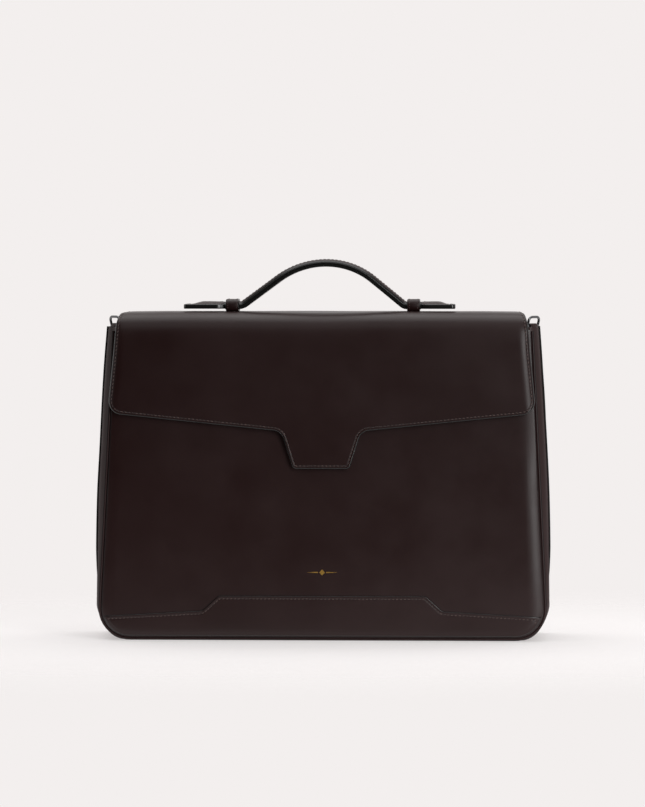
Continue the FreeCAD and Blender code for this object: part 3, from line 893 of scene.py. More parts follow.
@dataclass
class Finishes:
    """Every finish of the bag, made once."""

    leather: bpy.types.Material = field(default_factory=lambda: BoxCalf().build())
    # Lighter, redder copy of the box calf for the gusset, welts and ring tabs: a painted highlight for the light
    # that the sides catch; the real leather is the same as the walls'.
    gusset_leather: bpy.types.Material = field(default_factory=lambda: BoxCalf(
        name="box_calf_soft_rolled", deep="#281515", light="#341e1d", roughness=0.42, gloss=0.4).build())
    lining_leather: bpy.types.Material = field(default_factory=lambda: BoxCalf(
        name="calf_lining_split_brushed", deep="#251716", light="#35231f", roughness=0.62, gloss=0.2,
        pore_mm=1.1, relief=0.5).build())
    paint: bpy.types.Material = field(default_factory=lambda: EdgePaint().build())
    matt_paint: bpy.types.Material = field(default_factory=lambda: EdgePaint(
        name="edge_paint_matt", roughness=0.6, gloss=0.2).build())
    thread: bpy.types.Material = field(default_factory=lambda: WaxedThread().build())
    twill: bpy.types.Material = field(default_factory=lambda: CottonTwill().build())
    gunmetal: bpy.types.Material = field(default_factory=lambda: PlatedMetal(
        "steel_gunmetal_plated", "#77787a").build())
    foil: bpy.types.Material = field(default_factory=lambda: PlatedMetal(
        "gold_foil_hot_pressed", "#d8ab55", 0.34).build())
    board: bpy.types.Material = field(default_factory=lambda: PressedBoard().build())
    nylon: bpy.types.Material = field(default_factory=lambda: ZipNylon().build())

    @property
    def sewing(self) -> list[bpy.types.Material]:
        """The material slots of a row of stitches: the thread, and the edge paint of the dark dots painted as
        shade in the awl's piercings.
        """
        return [self.thread, self.paint]

    @property
    def cut_leather(self) -> list[bpy.types.Material]:
        """The material slots of a cut piece, in the order of Layer."""
        return [self.leather, self.paint, self.lining_leather]

    def by_slot(self) -> dict[str, bpy.types.Material]:
        """The finish of each of the record's material slots."""
        return {"leather": self.leather, "edge_paint": self.paint, "thread": self.thread, "foil": self.foil,
                "lining_cloth": self.twill, "stiffening_board": self.board, "handle_filler": self.board,
                "gunmetal": self.gunmetal, "zip_coil": self.nylon}

    def dress_frame(self) -> None:
        """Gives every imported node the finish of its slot."""
        by_slot = self.by_slot()
        for row in frame["record"]["subparts"]:
            node = frame["nodes"][row["node"]]
            material = by_slot[row["material_slot"]]
            if not node.material_slots:
                node.data.materials.append(material)
            for slot in node.material_slots:
                slot.material = material


# ------------------------------------------------------------------ body of the bag
@dataclass
class Wall:
    """One wall of the bag: its leather, base patch and welt.

    Attributes:
        rings: widths of the mesh rings along the edge, which carry the roll.
        mesh_step: about how far apart the cuts across the leather are.
        patch_step: where the patch's upper edge starts and ends its slope.
        patch_inset: how far the patch stays in from the wall's foot.
        patch_chord: length of its corner's first straight run.
        seam_clear: how far from the foot the patch's stitches stop.
        welt_paint: how far outside the wall's edge the welt's painted rim starts, as a negative.
    """

    side: Side
    finishes: Finishes
    rings: tuple[float, ...] = (0.7, 1.2, 1.6, 2.0, 2.4, 2.8, 3.0, 3.2)
    mesh_step: float = 9.0
    patch_thick: float = 1.2
    patch_rise: float = 38.2
    patch_step: tuple[float, float] = (88.0, 102.0)
    patch_shoulder: float = 25.4
    patch_end: float = 20.6
    patch_inset: float = 0.7
    patch_chord: float = 8.5
    seam_clear: float = 3.6
    welt_paint: float = -2.4

    @property
    def word(self) -> str:
        """The side as a word in names."""
        return self.side.name.lower()

    def build(self) -> None:
        """Makes the wall's pieces."""
        self._leather()
        self._patch()
        self._welt()

    def _leather(self) -> None:
        """The wall's leather, rolled in at its sides and foot."""
        s = SHAPE
        low, high = s.wall_half(s.wall_foot), s.wall_half(s.wall_top)
        corners = [(-low, s.wall_foot, s.foot_radius), (low, s.wall_foot, s.foot_radius),
                   (high, s.wall_top, 0.0), (-high, s.wall_top, 0.0)]
        piece = CutPiece(corners, s.leather, edge_round=0.3, rings=self.rings,
                         u_cuts=cuts(1 - s.half_width, s.half_width - 1, self.mesh_step),
                         v_cuts=cuts(8, s.wall_top - 2, self.mesh_step))
        bm = piece.cut()
        move_to_place(bm, s.wall_surface(self.side))
        wall = finish_piece(f"{self.word}_wall_leather", bm, self.finishes.cut_leather)
        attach(wall, "shell")
        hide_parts(f"{self.word}_wall")

    def _patch_corners(self) -> list[Corner]:
        """Works out the base patch's outline: a stepped top edge, and the wall's own foot.

        Returns:
            Its corners, anticlockwise.
        """
        (cx, cz), r, steps = SHAPE.foot_centre, SHAPE.foot_radius - self.patch_inset, 12
        start = math.asin((self.patch_end - cz) / r)
        point = start - self.patch_chord / r
        turn = [start] + [point + (-math.pi / 2 - point) * k / steps for k in range(steps + 1)]
        right = [(cx + r * math.cos(a), cz + r * math.sin(a), 0.0) for a in reversed(turn)]
        inner, outer = self.patch_step
        top = [(outer, self.patch_shoulder, 5.0), (inner, self.patch_rise, 4.0)]
        half = right + top
        return half + [(-u, v, radius) for u, v, radius in reversed(half)]

    def _patch(self) -> None:
        """The stepped base patch with its stitching."""
        def sewn(point: Vector) -> bool:
            """The seam follows the upper edge only."""
            return point.y > self.patch_end - 6 and SHAPE.edge_distance(point.x, point.y) > self.seam_clear

        piece = CutPiece(self._patch_corners(), self.patch_thick, edge_round=0.55, seam_inset=2.6,
                         seam_half=0.45, seam_depth=0.28, rings=(0.5,), sewn=sewn,
                         u_cuts=cuts(-184, 184, self.mesh_step), v_cuts=cuts(8, 36, 7))
        bm = piece.cut()
        bmesh.ops.translate(bm, verts=bm.verts[:], vec=(0, 0, self.patch_thick))
        threads = bmesh.new()
        STITCHES.sew(threads, piece.seam, sewn, self.patch_thick - 0.12)
        for name, mesh, materials, slot in (
                ("base_patch_leather", bm, self.finishes.cut_leather, "leather"),
                ("base_patch_stitching", threads, self.finishes.sewing, "thread")):
            move_to_place(mesh, SHAPE.wall_surface(self.side))
            made = finish_piece(f"{self.word}_{name}", mesh, materials)
            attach(made, "shell")
            if slot == "leather":
                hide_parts(f"{self.word}_base_patch")

    def _welt(self) -> None:
        """The flat welt that shows as a thin lip between wall and gusset."""
        s = SHAPE
        half = s.outline_length(s.wall_top - 1)
        stations = 240
        top, low = -s.leather - HIDDEN_LIFT, -s.leather - s.welt
        lip = [(2.6, 0.0), (2.95, 0.4), (2.95, 0.8), (2.6, 1.15), (2.3, 1.4), (1.8, 1.45), (1.35, 1.3),
               (1.05, 0.8), (0.9, 0.25), (0.1, 0.25)]
        section = [(-4.1, top), (-4.1, low)] + [(a, low + b) for a, b in lip] + [(0.05, top)]

        def place(i: int, a: float, b: float) -> Vector:
            """Carries a section point to a station on the wall's outline."""
            x, z, nx, nz = s.outline(half * (2 * i / (stations - 1) - 1))
            return s.on_wall(x + nx * a, z + nz * a, b, self.side)

        bm = swept(stations, section, place)
        for face in bm.faces:
            middle = face.calc_center_median() / MM
            if SHAPE.edge_distance(middle.x, middle.z) < self.welt_paint:
                face.material_index = Layer.EDGE.value
        welt = finish_piece(f"{self.word}_welt_leather", bm,
                            [self.finishes.gusset_leather, self.finishes.matt_paint])
        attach(welt, "shell")
        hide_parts(f"{self.word}_welt")


@dataclass
class Gusset:
    """The one long strip that makes both sides and the foot, folded inwards at the sides.

    Attributes:
        ground_bulge: how far the strip stands out under the foot.
        corner_shift: how much sooner it stands out going round a lower corner.
        edge_in: where its sewn edges lie.
        folds: height, bulge, crease and plateau, the share of the half depth where it bulges most.
        ridge_foot: the height where the two pinched folds start.
        unevenness: of the soft sides.
        crowd: how much closer the mesh's rows lie towards the sewn edges, from 0 to 1.
    """

    finishes: Finishes
    thickness: float = 1.6
    ground_bulge: float = 3.4
    corner_shift: float = 1.3
    edge_in: float = -0.3
    stations: int = 300
    across: int = 44
    top: float = 266.0
    folds: tuple[tuple[float, float, float, float], ...] = (
        (28.0, 5.4, 5.4, 0.75), (50.0, 6.2, 6.2, 0.75), (100.0, 8.0, 2.7, 0.62), (185.0, 8.9, -3.5, 0.58),
        (266.0, 7.8, -8.3, 0.56))
    ridge_foot: float = 46.0
    ridge_width: float = 1.6
    ridge_height: float = 1.2
    unevenness: float = 1.1
    crowd: float = 0.35

    def _fold(self, q: float, z: float) -> list[float]:
        """Reads the fold at a place on the outline.

        Args:
            q: distance along the outline.
            z: height there.

        Returns:
            Its bulge, crease and plateau.
        """
        (cx, _), r = SHAPE.foot_centre, SHAPE.foot_radius
        turned = (abs(q) - cx) / (r * (math.pi / 2 + SHAPE.tilt))
        if turned < 1:
            bulge = self.ground_bulge + (self.folds[0][1] - self.ground_bulge) * smoothstep(0.15, 1, turned)
            bulge += self.corner_shift * math.sin(2 * math.pi * max(turned, 0.0))
            return [bulge, bulge, self.folds[0][3]]
        return hermite(self.folds, z)

    def _swell(self, share: float, bulge: float, crease: float, plateau: float) -> float:
        """How far the strip stands out of the wall's outline.

        Args:
            share: of the half depth, from the middle plane.
            bulge: how far it stands out at the plateau.
            crease: how far in the middle.
            plateau: the share where it bulges most.

        Returns:
            The distance.
        """
        if share <= plateau:
            return crease + (bulge - crease) * (1 - math.cos(math.pi * share / plateau)) / 2
        fall = (1 - math.cos(math.pi * (share - plateau) / (1 - plateau))) / 2
        return bulge + (self.edge_in - bulge) * fall

    def _surface(self, q: float, share: float) -> Vector:
        """A point of the strip.

        Args:
            q: distance along the outline.
            share: of the half depth, from the middle plane.

        Returns:
            The point, in metres.
        """
        x, z, nx, nz = SHAPE.outline(q)
        soft = smoothstep(60, 140, z) * (1 - abs(share) ** 4)
        ripple = noise.noise(Vector((q * 0.012, share * 2.2, math.copysign(3.0, q)))) * self.unevenness * soft
        out = self._swell(abs(share), *self._fold(q, z)) + ripple
        z_out = max(z + nz * out, 0.0)
        return Vector((x + nx * out, share * SHAPE.seat_y(z_out), z_out)) * MM

    def build(self) -> None:
        """Makes the strip."""
        half = SHAPE.outline_length(self.top)
        bm = bmesh.new()
        bmesh.ops.create_grid(bm, x_segments=self.stations, y_segments=self.across, size=1)
        for vert in bm.verts:
            share = math.sin(vert.co.y * math.pi / 2) * self.crowd + vert.co.y * (1 - self.crowd)
            vert.co = self._surface(vert.co.x * half, share)
        bmesh.ops.recalc_face_normals(bm, faces=bm.faces[:])
        foot = min(bm.faces, key=lambda f: f.calc_center_median().z)
        if foot.normal.z > 0:
            bmesh.ops.reverse_faces(bm, faces=bm.faces[:])
        bmesh.ops.solidify(bm, geom=bm.faces[:], thickness=self.thickness * MM)
        for hand in Hand:
            self._ridges(hand, half)
        # The strip takes the lighter copy of the leather, with its painted highlight.
        strip = finish_piece("gusset_leather", bm, [self.finishes.gusset_leather], crease=60)
        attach(strip, "shell")
        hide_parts("gusset_left", "gusset_right", "gusset_base")

    def _ridges(self, hand: Hand, half: float) -> None:
        """The two pinched folds of one side, which are painted along their tops.

        Args:
            hand: the side.
            half: length of half the outline.
        """
        start = SHAPE.outline_length(self.ridge_foot)
        stations, rising, sunk = 90, 14, 0.6
        section = rounded_section(self.ridge_width, 2 * self.ridge_height, radius=0.6, steps=3)
        for side in Side:
            def place(i: int, a: float, b: float) -> Vector:
                """Carries a section point to a station on the crest; the fold rises slowly at its foot."""
                q = start + (half - start) * i / (stations - 1)
                _, z, _, _ = SHAPE.outline(q)
                share = side.value * self._fold(q, z)[2]
                here = self._surface(hand.value * q, share)
                out = Vector((hand.value, 0, 0))
                height = (b + 0.1) * smoothstep(0, rising, i) - sunk * (1 - smoothstep(0, 6, i))
                return here + out * height * MM + Vector((0, a * MM, 0))

            ridge = finish_piece(f"gusset_fold_{hand.name.lower()}_{side.name.lower()}",
                                 swept(stations, section, place), [self.finishes.matt_paint])
            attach(ridge, "shell")


# ------------------------------------------------------------------ flap
@dataclass
class Bend:
    """A bend of the flap through a right angle less the lean: its tightness rises and then falls off.

    Attributes:
        length: of the leather's face round the bend.
        gather: how the tightness rises; 0 for an even arc.
        ease: how it falls off.
    """

    length: float
    gather: float = 0.0
    ease: float = 0.0
    steps: int = 240

    def __post_init__(self) -> None:
        """Works out the line of the face: run, drop and angle at each step."""
        turn = math.pi / 2 - SHAPE.lean
        shares = [(k + 0.5) / self.steps for k in range(self.steps)]
        weights = [t ** self.gather * (1 - t) ** self.ease for t in shares]
        total, angle, run, drop = sum(weights), 0.0, 0.0, 0.0
        self.line = [(0.0, 0.0, 0.0)]
        for weight in weights:
            part = turn * weight / total
            run += self.length / self.steps * math.cos(angle + part / 2)
            drop += self.length / self.steps * math.sin(angle + part / 2)
            angle += part
            self.line.append((run, drop, angle))

    def at(self, distance: float) -> tuple[float, float, float]:
        """Reads the bend.

        Args:
            distance: round it, from its start.

        Returns:
            The run, drop and angle there.
        """
        place = min(max(distance / self.length, 0.0), 1.0) * self.steps
        k = min(int(place), self.steps - 1)
        (a, b, c), (d, e, f) = self.line[k], self.line[k + 1]
        t = place - k
        return a + (d - a) * t, b + (e - b) * t, c + (f - c) * t


@dataclass
class Flap:
    """The flap: one sheet from the back wall, over the top and down the front, with its stitching.

    It is drawn flat. Its second coordinate runs from the middle of the top, positive to the front.

    Attributes:
        widths: shares of the front bend, and half the flap's width there.
        low_half: half the width at the lower corners of the front.
        low_v: height of those corners.
        shift: how far the flap lies to the left of the walls.
        tongue: half width, height and corner radius of the tongue's root and of its tip.
        strip_foot: height of the lower edge of the strip on the back wall.
        corner_radii: of the strip's corners, the side's slight bends and the front's lower corners.
        front_bend: length, gather and ease of the front bend.
        side_drop: how far the side edges roll in, over side_width and as late as side_power says.
        top_roll: the share of that roll on the flat top.
        skive: the share of the thickness that is pared away at the side edges.
        sag: how far the top sags between the keepers.
        low_ends: how far the top's ends hang.
        tuck: how much closer the front lies to the wall at its sides.
        wave: the front's unevenness.
    """

    finishes: Finishes
    widths: tuple[tuple[float, float], ...] = ((0.0, 170.6), (0.42, 174.6), (1.0, 177.2))
    low_half: float = 182.0
    low_v: float = 193.0
    shift: float = -0.8
    tongue: tuple[Corner, Corner] = ((34.0, 177.9, 9.0), (24.0, 146.1, 4.2))
    strip_foot: float = 206.0
    corner_radii: tuple[float, float, float] = (10.0, 60.0, 12.0)
    side_drop: float = 2.1
    side_width: float = 9.0
    side_power: float = 2.4
    front_bend: tuple[float, float, float] = (52.0, 1.0, 2.5)
    top_roll: float = 0.15
    skive: float = 0.45
    sag: float = 0.9
    low_ends: float = 0.6
    tuck: float = 1.1
    wave: float = 0.35

    def __post_init__(self) -> None:
        """Works out where the two bends start and end."""
        s = SHAPE
        self.bends = {Side.FRONT: Bend(*self.front_bend),
                      Side.BACK: Bend(s.bend_radius * (math.pi / 2 - s.lean))}
        levels = {Side.FRONT: s.flap_gap + s.flap_thick, Side.BACK: s.flap_thick}
        self.start, self.end_z, self.end_y = {}, {}, {}
        for side, bend in self.bends.items():
            run, drop, _ = bend.line[-1]
            self.end_z[side] = s.flap_top - drop
            self.end_y[side] = s.face_y(self.end_z[side]) + levels[side] / math.cos(s.lean)
            self.start[side] = self.end_y[side] - run

    def bend_end(self, side: Side) -> float:
        """The flat coordinate where a bend ends, without its sign."""
        return self.start[side] + self.bends[side].length

    def along(self, v: float, side: Side) -> float:
        """The flat coordinate of a height on a hanging part.

        Args:
            v: the height, measured up the wall.
            side: the part.

        Returns:
            The flat coordinate.
        """
        run = SHAPE.base_depth / 2 - self.end_y[side]
        end_v = run * math.sin(SHAPE.lean) + self.end_z[side] * math.cos(SHAPE.lean)
        length = self.bend_end(side) + end_v - v
        return length if side is Side.FRONT else -length

    def half_width(self, s: float) -> float:
        """Half the flap's width at a flat coordinate along it."""
        rows = self._side_line()
        s = min(max(s, rows[0][0]), rows[-1][0])
        (a, wide_a), (b, wide_b) = next(pair for pair in zip(rows, rows[1:]) if s <= pair[1][0])
        return wide_a + (wide_b - wide_a) * (s - a) / (b - a)

    def _side_line(self) -> list[tuple[float, float]]:
        """The flat coordinate and half width of each corner of the front's side edge."""
        start, length = self.start[Side.FRONT], self.bends[Side.FRONT].length
        return [(start + share * length, half) for share, half in self.widths] + [
            (self.along(self.low_v, Side.FRONT), self.low_half)]

    def corners(self) -> list[Corner]:
        """Works out the flat outline.

        Returns:
            Its corners, anticlockwise.
        """
        front, back = Side.FRONT, Side.BACK
        (root_u, root_v, root_r), (tip_u, tip_v, tip_r) = self.tongue
        strip_radius, side_radius, low_radius = self.corner_radii
        right = [(self.widths[0][1], self.along(self.strip_foot, back), strip_radius)]
        right += [(half, s, side_radius) for s, half in self._side_line()[:-1]]
        right += [(self.low_half, self.along(self.low_v, front), low_radius),
                 (root_u, self.along(root_v, front), root_r),
                 (tip_u, self.along(tip_v, front), tip_r)]
        return right + [(-u, s, r) for u, s, r in reversed(right)]

    def place(self, u: float, s: float, h: float) -> Vector:
        """Carries a flat point to its place on the bag.

        Args:
            u: how far across it is.
            s: how far along, from the middle of the top.
            h: its level.

        Returns:
            The point, in metres.
        """
        edge = self.half_width(s) - abs(u)
        bent = smoothstep(self.start[Side.FRONT] + 6, self.bend_end(Side.FRONT), s)
        hanging = self.top_roll + (1 - self.top_roll) * bent
        rolled = max(1 - edge / self.side_width, 0.0) ** self.side_power * hanging
        h *= 1 - self.skive * rolled
        h -= self.side_drop * rolled
        h -= SHAPE.flap_thick * self.skive * rolled
        h += self._hand_made(u, s)
        side = Side.FRONT if s >= 0 else Side.BACK
        run, drop, angle = self.bends[side].at(abs(s) - self.start[side])
        rest = max(abs(s) - self.bend_end(side), 0.0)
        y = min(abs(s), self.start[side]) + run + rest * math.sin(SHAPE.lean) + h * math.sin(angle)
        z = SHAPE.flap_top - drop - rest * math.cos(SHAPE.lean) + h * math.cos(angle)
        return Vector((u + self.shift, -y if side is Side.FRONT else y, z)) * MM

    def _hand_made(self, u: float, s: float) -> float:
        """The small unevenness of a soft top: it sags between the keepers and lies closer at the sides.

        Args:
            u: how far across the point is.
            s: how far along.

        Returns:
            How far the leather is lifted there.
        """
        sag = -self.sag * math.exp(-(u / 38.0) ** 2) * math.exp(-((s - 6) / 22.0) ** 2)
        ends = -self.low_ends * smoothstep(128, 176, abs(u)) * math.exp(-(s / 40.0) ** 2)
        front_end = self.bend_end(Side.FRONT)
        tuck = -self.tuck * smoothstep(60, 180, abs(u)) * smoothstep(front_end + 5, front_end + 70, s)
        return sag + ends + tuck + self.wave * noise.noise(Vector((u * 0.017, s * 0.02, 1.7)))

    def build(self) -> None:
        """Makes the flap's two sheets, which meet in the middle of the top, and their stitching."""
        front, back = Side.FRONT, Side.BACK
        bends = [self.start[front] + self.bends[front].length * k / 22 for k in range(-1, 23)]
        bends += [-self.start[back] - self.bends[back].length * k / 9 for k in range(-1, 11)]
        front_cuts = cuts(self.bend_end(front) + 4, self.along(147.5, front), 8)
        back_cuts = cuts(self.along(self.strip_foot + 2, back), -self.bend_end(back) - 4, 8)
        rolled_from, fine_step = 158.3, 1.6
        near_edge = [sign * (rolled_from + fine_step * k) for sign in (-1, 1) for k in range(14)]
        piece = CutPiece(self.corners(), SHAPE.flap_thick, edge_round=0.9, seam_inset=2.5, seam_half=0.5,
                         seam_depth=0.3, rings=(0.5,), u_cuts=cuts(-154, 154, 8) + near_edge,
                         v_cuts=bends + front_cuts + back_cuts + [-16, -8, 0, 8])
        sheet = piece.cut()
        threads = bmesh.new()
        STITCHES.sew(threads, piece.seam, everywhere, -0.08)
        for side in Side:
            self._part(sheet.copy(), side, "leather", self.finishes.cut_leather, "leather")
            self._part(threads.copy(), side, "stitching", self.finishes.sewing, "thread")
        sheet.free()
        threads.free()

    def _part(self, bm: BMesh, side: Side, word: str, materials: Sequence[bpy.types.Material],
              slot: str) -> None:
        """Keeps the part of a flat mesh that belongs to one side, and makes its piece.

        Args:
            bm: the flat mesh.
            side: the side to keep.
            word: what the piece is made of, for its name.
            materials: its material slots.
            slot: the record's material slot.
        """
        front = side is Side.FRONT
        if word == "stitching":
            wrong = [v for v in bm.verts if (v.co.y < 0) is front]
            bmesh.ops.delete(bm, geom=wrong, context="VERTS")
            loose = [v for v in bm.verts if not v.link_faces]
            bmesh.ops.delete(bm, geom=loose, context="VERTS")
        else:
            bmesh.ops.bisect_plane(bm, geom=bm.verts[:] + bm.edges[:] + bm.faces[:], dist=0.001,
                                   plane_co=(0, 0, 0), plane_no=(0, 1, 0), clear_inner=front,
                                   clear_outer=not front)
            bmesh.ops.holes_fill(bm, edges=[e for e in bm.edges if e.is_boundary], sides=0)
        move_to_place(bm, self.place)
        made = finish_piece(f"flap_{side.name.lower()}_{word}", bm, materials)
        if front:
            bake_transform(made)
        else:
            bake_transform(made)
        if slot == "leather" and front:
            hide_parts("flap_front_leather", "flap_front_lining", "flap_front_bend")
        elif slot == "leather":
            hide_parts("flap_back_leather", "flap_back_lining", "flap_back_bend",
                        "flap_top_leather", "flap_top_lining")


# ------------------------------------------------------------------ handle
@dataclass
class Handle:
    """The arched strap, its two ends with their padded tabs, and the keepers.

    Attributes:
        floor: height of the strap's underside in the keepers.
        rise: height of the arch over the keepers.
        crown_radius: of the arch's top.
        foot_radius: of the small bend where the arch leaves a keeper.
        slope: angle of the arch's straight flanks.
        bevel: width of the burnished bevel along the strap's upper edges.
        bevel_slack: how flat that bevel is; 1 for a round.
        seam_inset: distance of the strap's seams from its edges.
        tab_reach: how far out the left and the right tab end.
        hand_lean: how far the arch's top leans to the right.
        left_reach: how much further out the left half lies.
    """

    finishes: Finishes
    keeper_x: float = 76.9
    keeper_length: float = 11.0
    keeper_width: float = 29.0
    keeper_height: float = 10.5
    keeper_thick: float = 2.0
    keeper_radius: float = 3.9
    floor: float = 280.9
    strap_thick: float = 6.3
    strap_width: float = 22.0
    rise: float = 36.3
    crown_radius: float = 65.43
    foot_radius: float = 7.0
    slope: float = math.radians(38.0)
    bevel: float = 3.0
    bevel_slack: float = 1.45
    seam_inset: float = 3.8
    tab_reach: tuple[float, float] = (118.4, 112.6)
    tab_width: float = 28.0
    tab_thick: float = 3.9
    tab_lift: float = 0.4
    pad_rise: float = 2.5
    hand_lean: float = 2.2
    left_reach: float = 1.0

    @property
    def keeper_in(self) -> float:
        """Where the arch enters a keeper."""
        return self.keeper_x - self.keeper_length / 2

    @property
    def middle(self) -> float:
        """Height of the strap's middle in the keepers."""
        return self.floor + self.strap_thick / 2

    def extra(self, hand: Hand, x: float) -> float:
        """How much further out the left half lies at a distance from the middle."""
        return self.left_reach * min(x / self.keeper_in, 1.0) if hand is Hand.LEFT else 0.0

    def arch(self, q: float) -> tuple[float, float, float]:
        """The strap's middle line.

        Args:
            q: distance along it from the top of the arch.

        Returns:
            x, z and the angle it falls at.
        """
        crown, foot = self.crown_radius * self.slope, self.foot_radius * self.slope
        flat = self.keeper_in - (self.crown_radius + self.foot_radius) * math.sin(self.slope)
        ramp = flat / math.cos(self.slope)
        top_z = self.middle + self.rise
        angle = min(q / self.crown_radius, self.slope)
        x, z = self.crown_radius * math.sin(angle), top_z - self.crown_radius * (1 - math.cos(angle))
        if q < crown:
            return x, z, angle
        if q < crown + ramp:
            rest = q - crown
            return x + rest * math.cos(self.slope), z - rest * math.sin(self.slope), self.slope
        left = max(crown + ramp + foot - q, 0.0)
        angle = left / self.foot_radius
        beyond = max(q - crown - ramp - foot, 0.0)
        return (self.keeper_in - self.foot_radius * math.sin(angle) + beyond,
                self.middle + self.foot_radius * (1 - math.cos(angle)), angle)

    def arch_length(self) -> float:
        """Length of the middle line from the top of the arch to the keeper."""
        radii = self.crown_radius + self.foot_radius
        return radii * self.slope + (self.keeper_in - radii * math.sin(self.slope)) / math.cos(self.slope)

    def build(self) -> None:
        """Makes both halves."""
        for hand in Hand:
            self._strap(hand)
            self._tab(hand)
            self._keeper(hand)

    def _strap_section(self) -> list[tuple[float, float]]:
        """The strap's section: a flat band with bevelled upper edges and a fine line round its middle.

        Returns:
            The section's points, anticlockwise.
        """
        bevel, slack = self.bevel, self.bevel_slack
        half, top = self.strap_width / 2, self.strap_thick / 2
        points = []
        for a, b in rounded_section(self.strap_width, self.strap_thick, bevel, steps=8, spread=6,
                                    low_radius=0.8):
            out, up = (abs(a) - half + bevel) / bevel, (b - top + bevel) / bevel
            if out > 0 and up > 0:
                a = math.copysign(half - bevel + bevel * out ** slack, a)
                b = top - bevel + bevel * up ** slack
            points.append((a, b))
        groove = [(half, -0.75), (half - 0.3, -0.5), (half, -0.25)]
        left = [(-a, b) for a, b in reversed(groove)]
        middle = next(i for i in range(len(points)) if points[i][0] < 0 and points[i][1] < 0)
        return points[:middle] + left + points[middle:] + groove

    def _strap(self, hand: Hand) -> None:
        """Half of the strap, from the top of the arch to just outside the keeper, and its stitching."""
        side = hand.value
        total = self.arch_length() + self.keeper_length + 0.8
        stations = 64
        section = self._strap_section()

        def at(q: float, a: float, b: float) -> Vector:
            """Carries a section point to a distance along the arch."""
            x, z, angle = self.arch(q)
            lean = self.hand_lean * max(1 - (x / self.keeper_in) ** 2, 0.0)
            out = side * (x + self.extra(hand, x) + b * math.sin(angle))
            return Vector((out + lean, a, z + b * math.cos(angle))) * MM

        bm = swept(stations, section, lambda i, a, b: at(total * i / (stations - 1), a, b))
        half = self.strap_width / 2
        painted = [j for j in range(len(section)) if abs(section[j][0]) > half - 1.7]
        painted_points = {tuple(round(c, 7) for c in at(total * i / (stations - 1), *section[j]))
                          for i in range(stations) for j in painted}
        for face in bm.faces:
            if all(tuple(round(c, 7) for c in vert.co) in painted_points for vert in face.verts):
                face.material_index = Layer.EDGE.value
        strap = finish_piece(f"handle_strap_{hand.name.lower()}", bm, self.finishes.cut_leather, crease=30)
        threads = bmesh.new()
        top = self.strap_thick / 2 - 0.1
        for edge in (-1, 1):
            line = [Vector((total * k / 40, edge * (half - self.seam_inset), 0)) for k in range(41)]
            STITCHES.sew(threads, line, lambda point: point.x < self.arch_length() + 1, top, closed=False)
        move_to_place(threads, at)
        sewing = finish_piece(f"handle_stitching_{hand.name.lower()}", threads, self.finishes.sewing)
        for piece, slot in ((strap, "leather"), (sewing, "thread")):
            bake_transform(piece)
        if hand is Hand.RIGHT:
            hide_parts("handle_grip", "handle_core")

    def _tab(self, hand: Hand) -> None:
        """The broad tab at the strap's end: a painted slab with a padded ridge on it."""
        side = hand.value
        start = self.keeper_x + self.keeper_length / 2 + 0.6
        half = self.tab_width / 2
        reach = self.tab_reach[0 if hand is Hand.LEFT else 1]
        right = [(start, 3 - half, 2.0), (start + 6, -half, 8.0), (reach, -half, 3.2)]
        corners = right + [(u, -v, radius) for u, v, radius in reversed(right)]

        def sewn(point: Vector) -> bool:
            """The seam leaves out the tab's root."""
            return point.x > start + 3

        piece = CutPiece(corners, self.tab_thick, edge_round=0.7, seam_inset=2.3, seam_half=0.4,
                         seam_depth=0.25, rings=(0.3,), sewn=sewn, u_cuts=cuts(start + 2, reach - 1, 1.6),
                         v_cuts=cuts(-half + 1, half - 1, 2.0))
        slab = piece.cut()
        threads = bmesh.new()
        STITCHES.sew(threads, piece.seam, sewn, -0.1)
        length = reach - 4.5 - start

        def place(u: float, v: float, h: float) -> Vector:
            """Carries a flat point to the tab's place; its face swells into the pad."""
            t = (u - start) / length
            pad = 0.0
            if h > -1.2 and 0 <= t <= 1:
                across = max(1 - (v / (half - 3.4)) ** 2, 0.0)
                crown = 0.85 + 0.15 * math.sin(math.pi * t)
                pad = self.pad_rise * across ** 0.6 * smoothstep(0.0, 0.4, 1 - t) * crown
            z = self.floor + self.tab_lift + self.tab_thick + h + pad
            return Vector((side * (u + self.extra(hand, u)), v, z)) * MM

        end = f"strap_end_{hand.name.lower()}"
        for name, mesh, materials, slot in (("tab_leather", slab, self.finishes.cut_leather, "leather"),
                                            ("tab_stitching", threads, self.finishes.sewing, "thread")):
            move_to_place(mesh, place)
            made = finish_piece(f"handle_{name}_{hand.name.lower()}", mesh, materials)
            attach(made, end)
            if slot == "leather":
                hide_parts(f"handle_end_{hand.name.lower()}")

    def _keeper(self, hand: Hand) -> None:
        """The stitched loop that the strap runs through."""
        side = hand.value
        centre = self.keeper_x + self.extra(hand, self.keeper_x)
        wide, tall, thick = self.keeper_width, self.keeper_height, self.keeper_thick
        middle_z = SHAPE.flap_top + tall / 2
        path = rounded_section(wide - thick, tall - thick, self.keeper_radius, steps=8, spread=10)
        stations = len(path)
        band = rounded_section(self.keeper_length, thick, radius=0.8, steps=3)

        def at(i: int, a: float, b: float) -> Vector:
            """Carries a section point to a station round the loop."""
            here, ahead, back = path[i], path[(i + 1) % stations], path[i - 1]
            along = Vector((ahead[0] - back[0], ahead[1] - back[1])).normalized()
            out = Vector((along.y, -along.x))
            return Vector((side * (centre + a), here[0] + out.x * b, middle_z + here[1] + out.y * b)) * MM

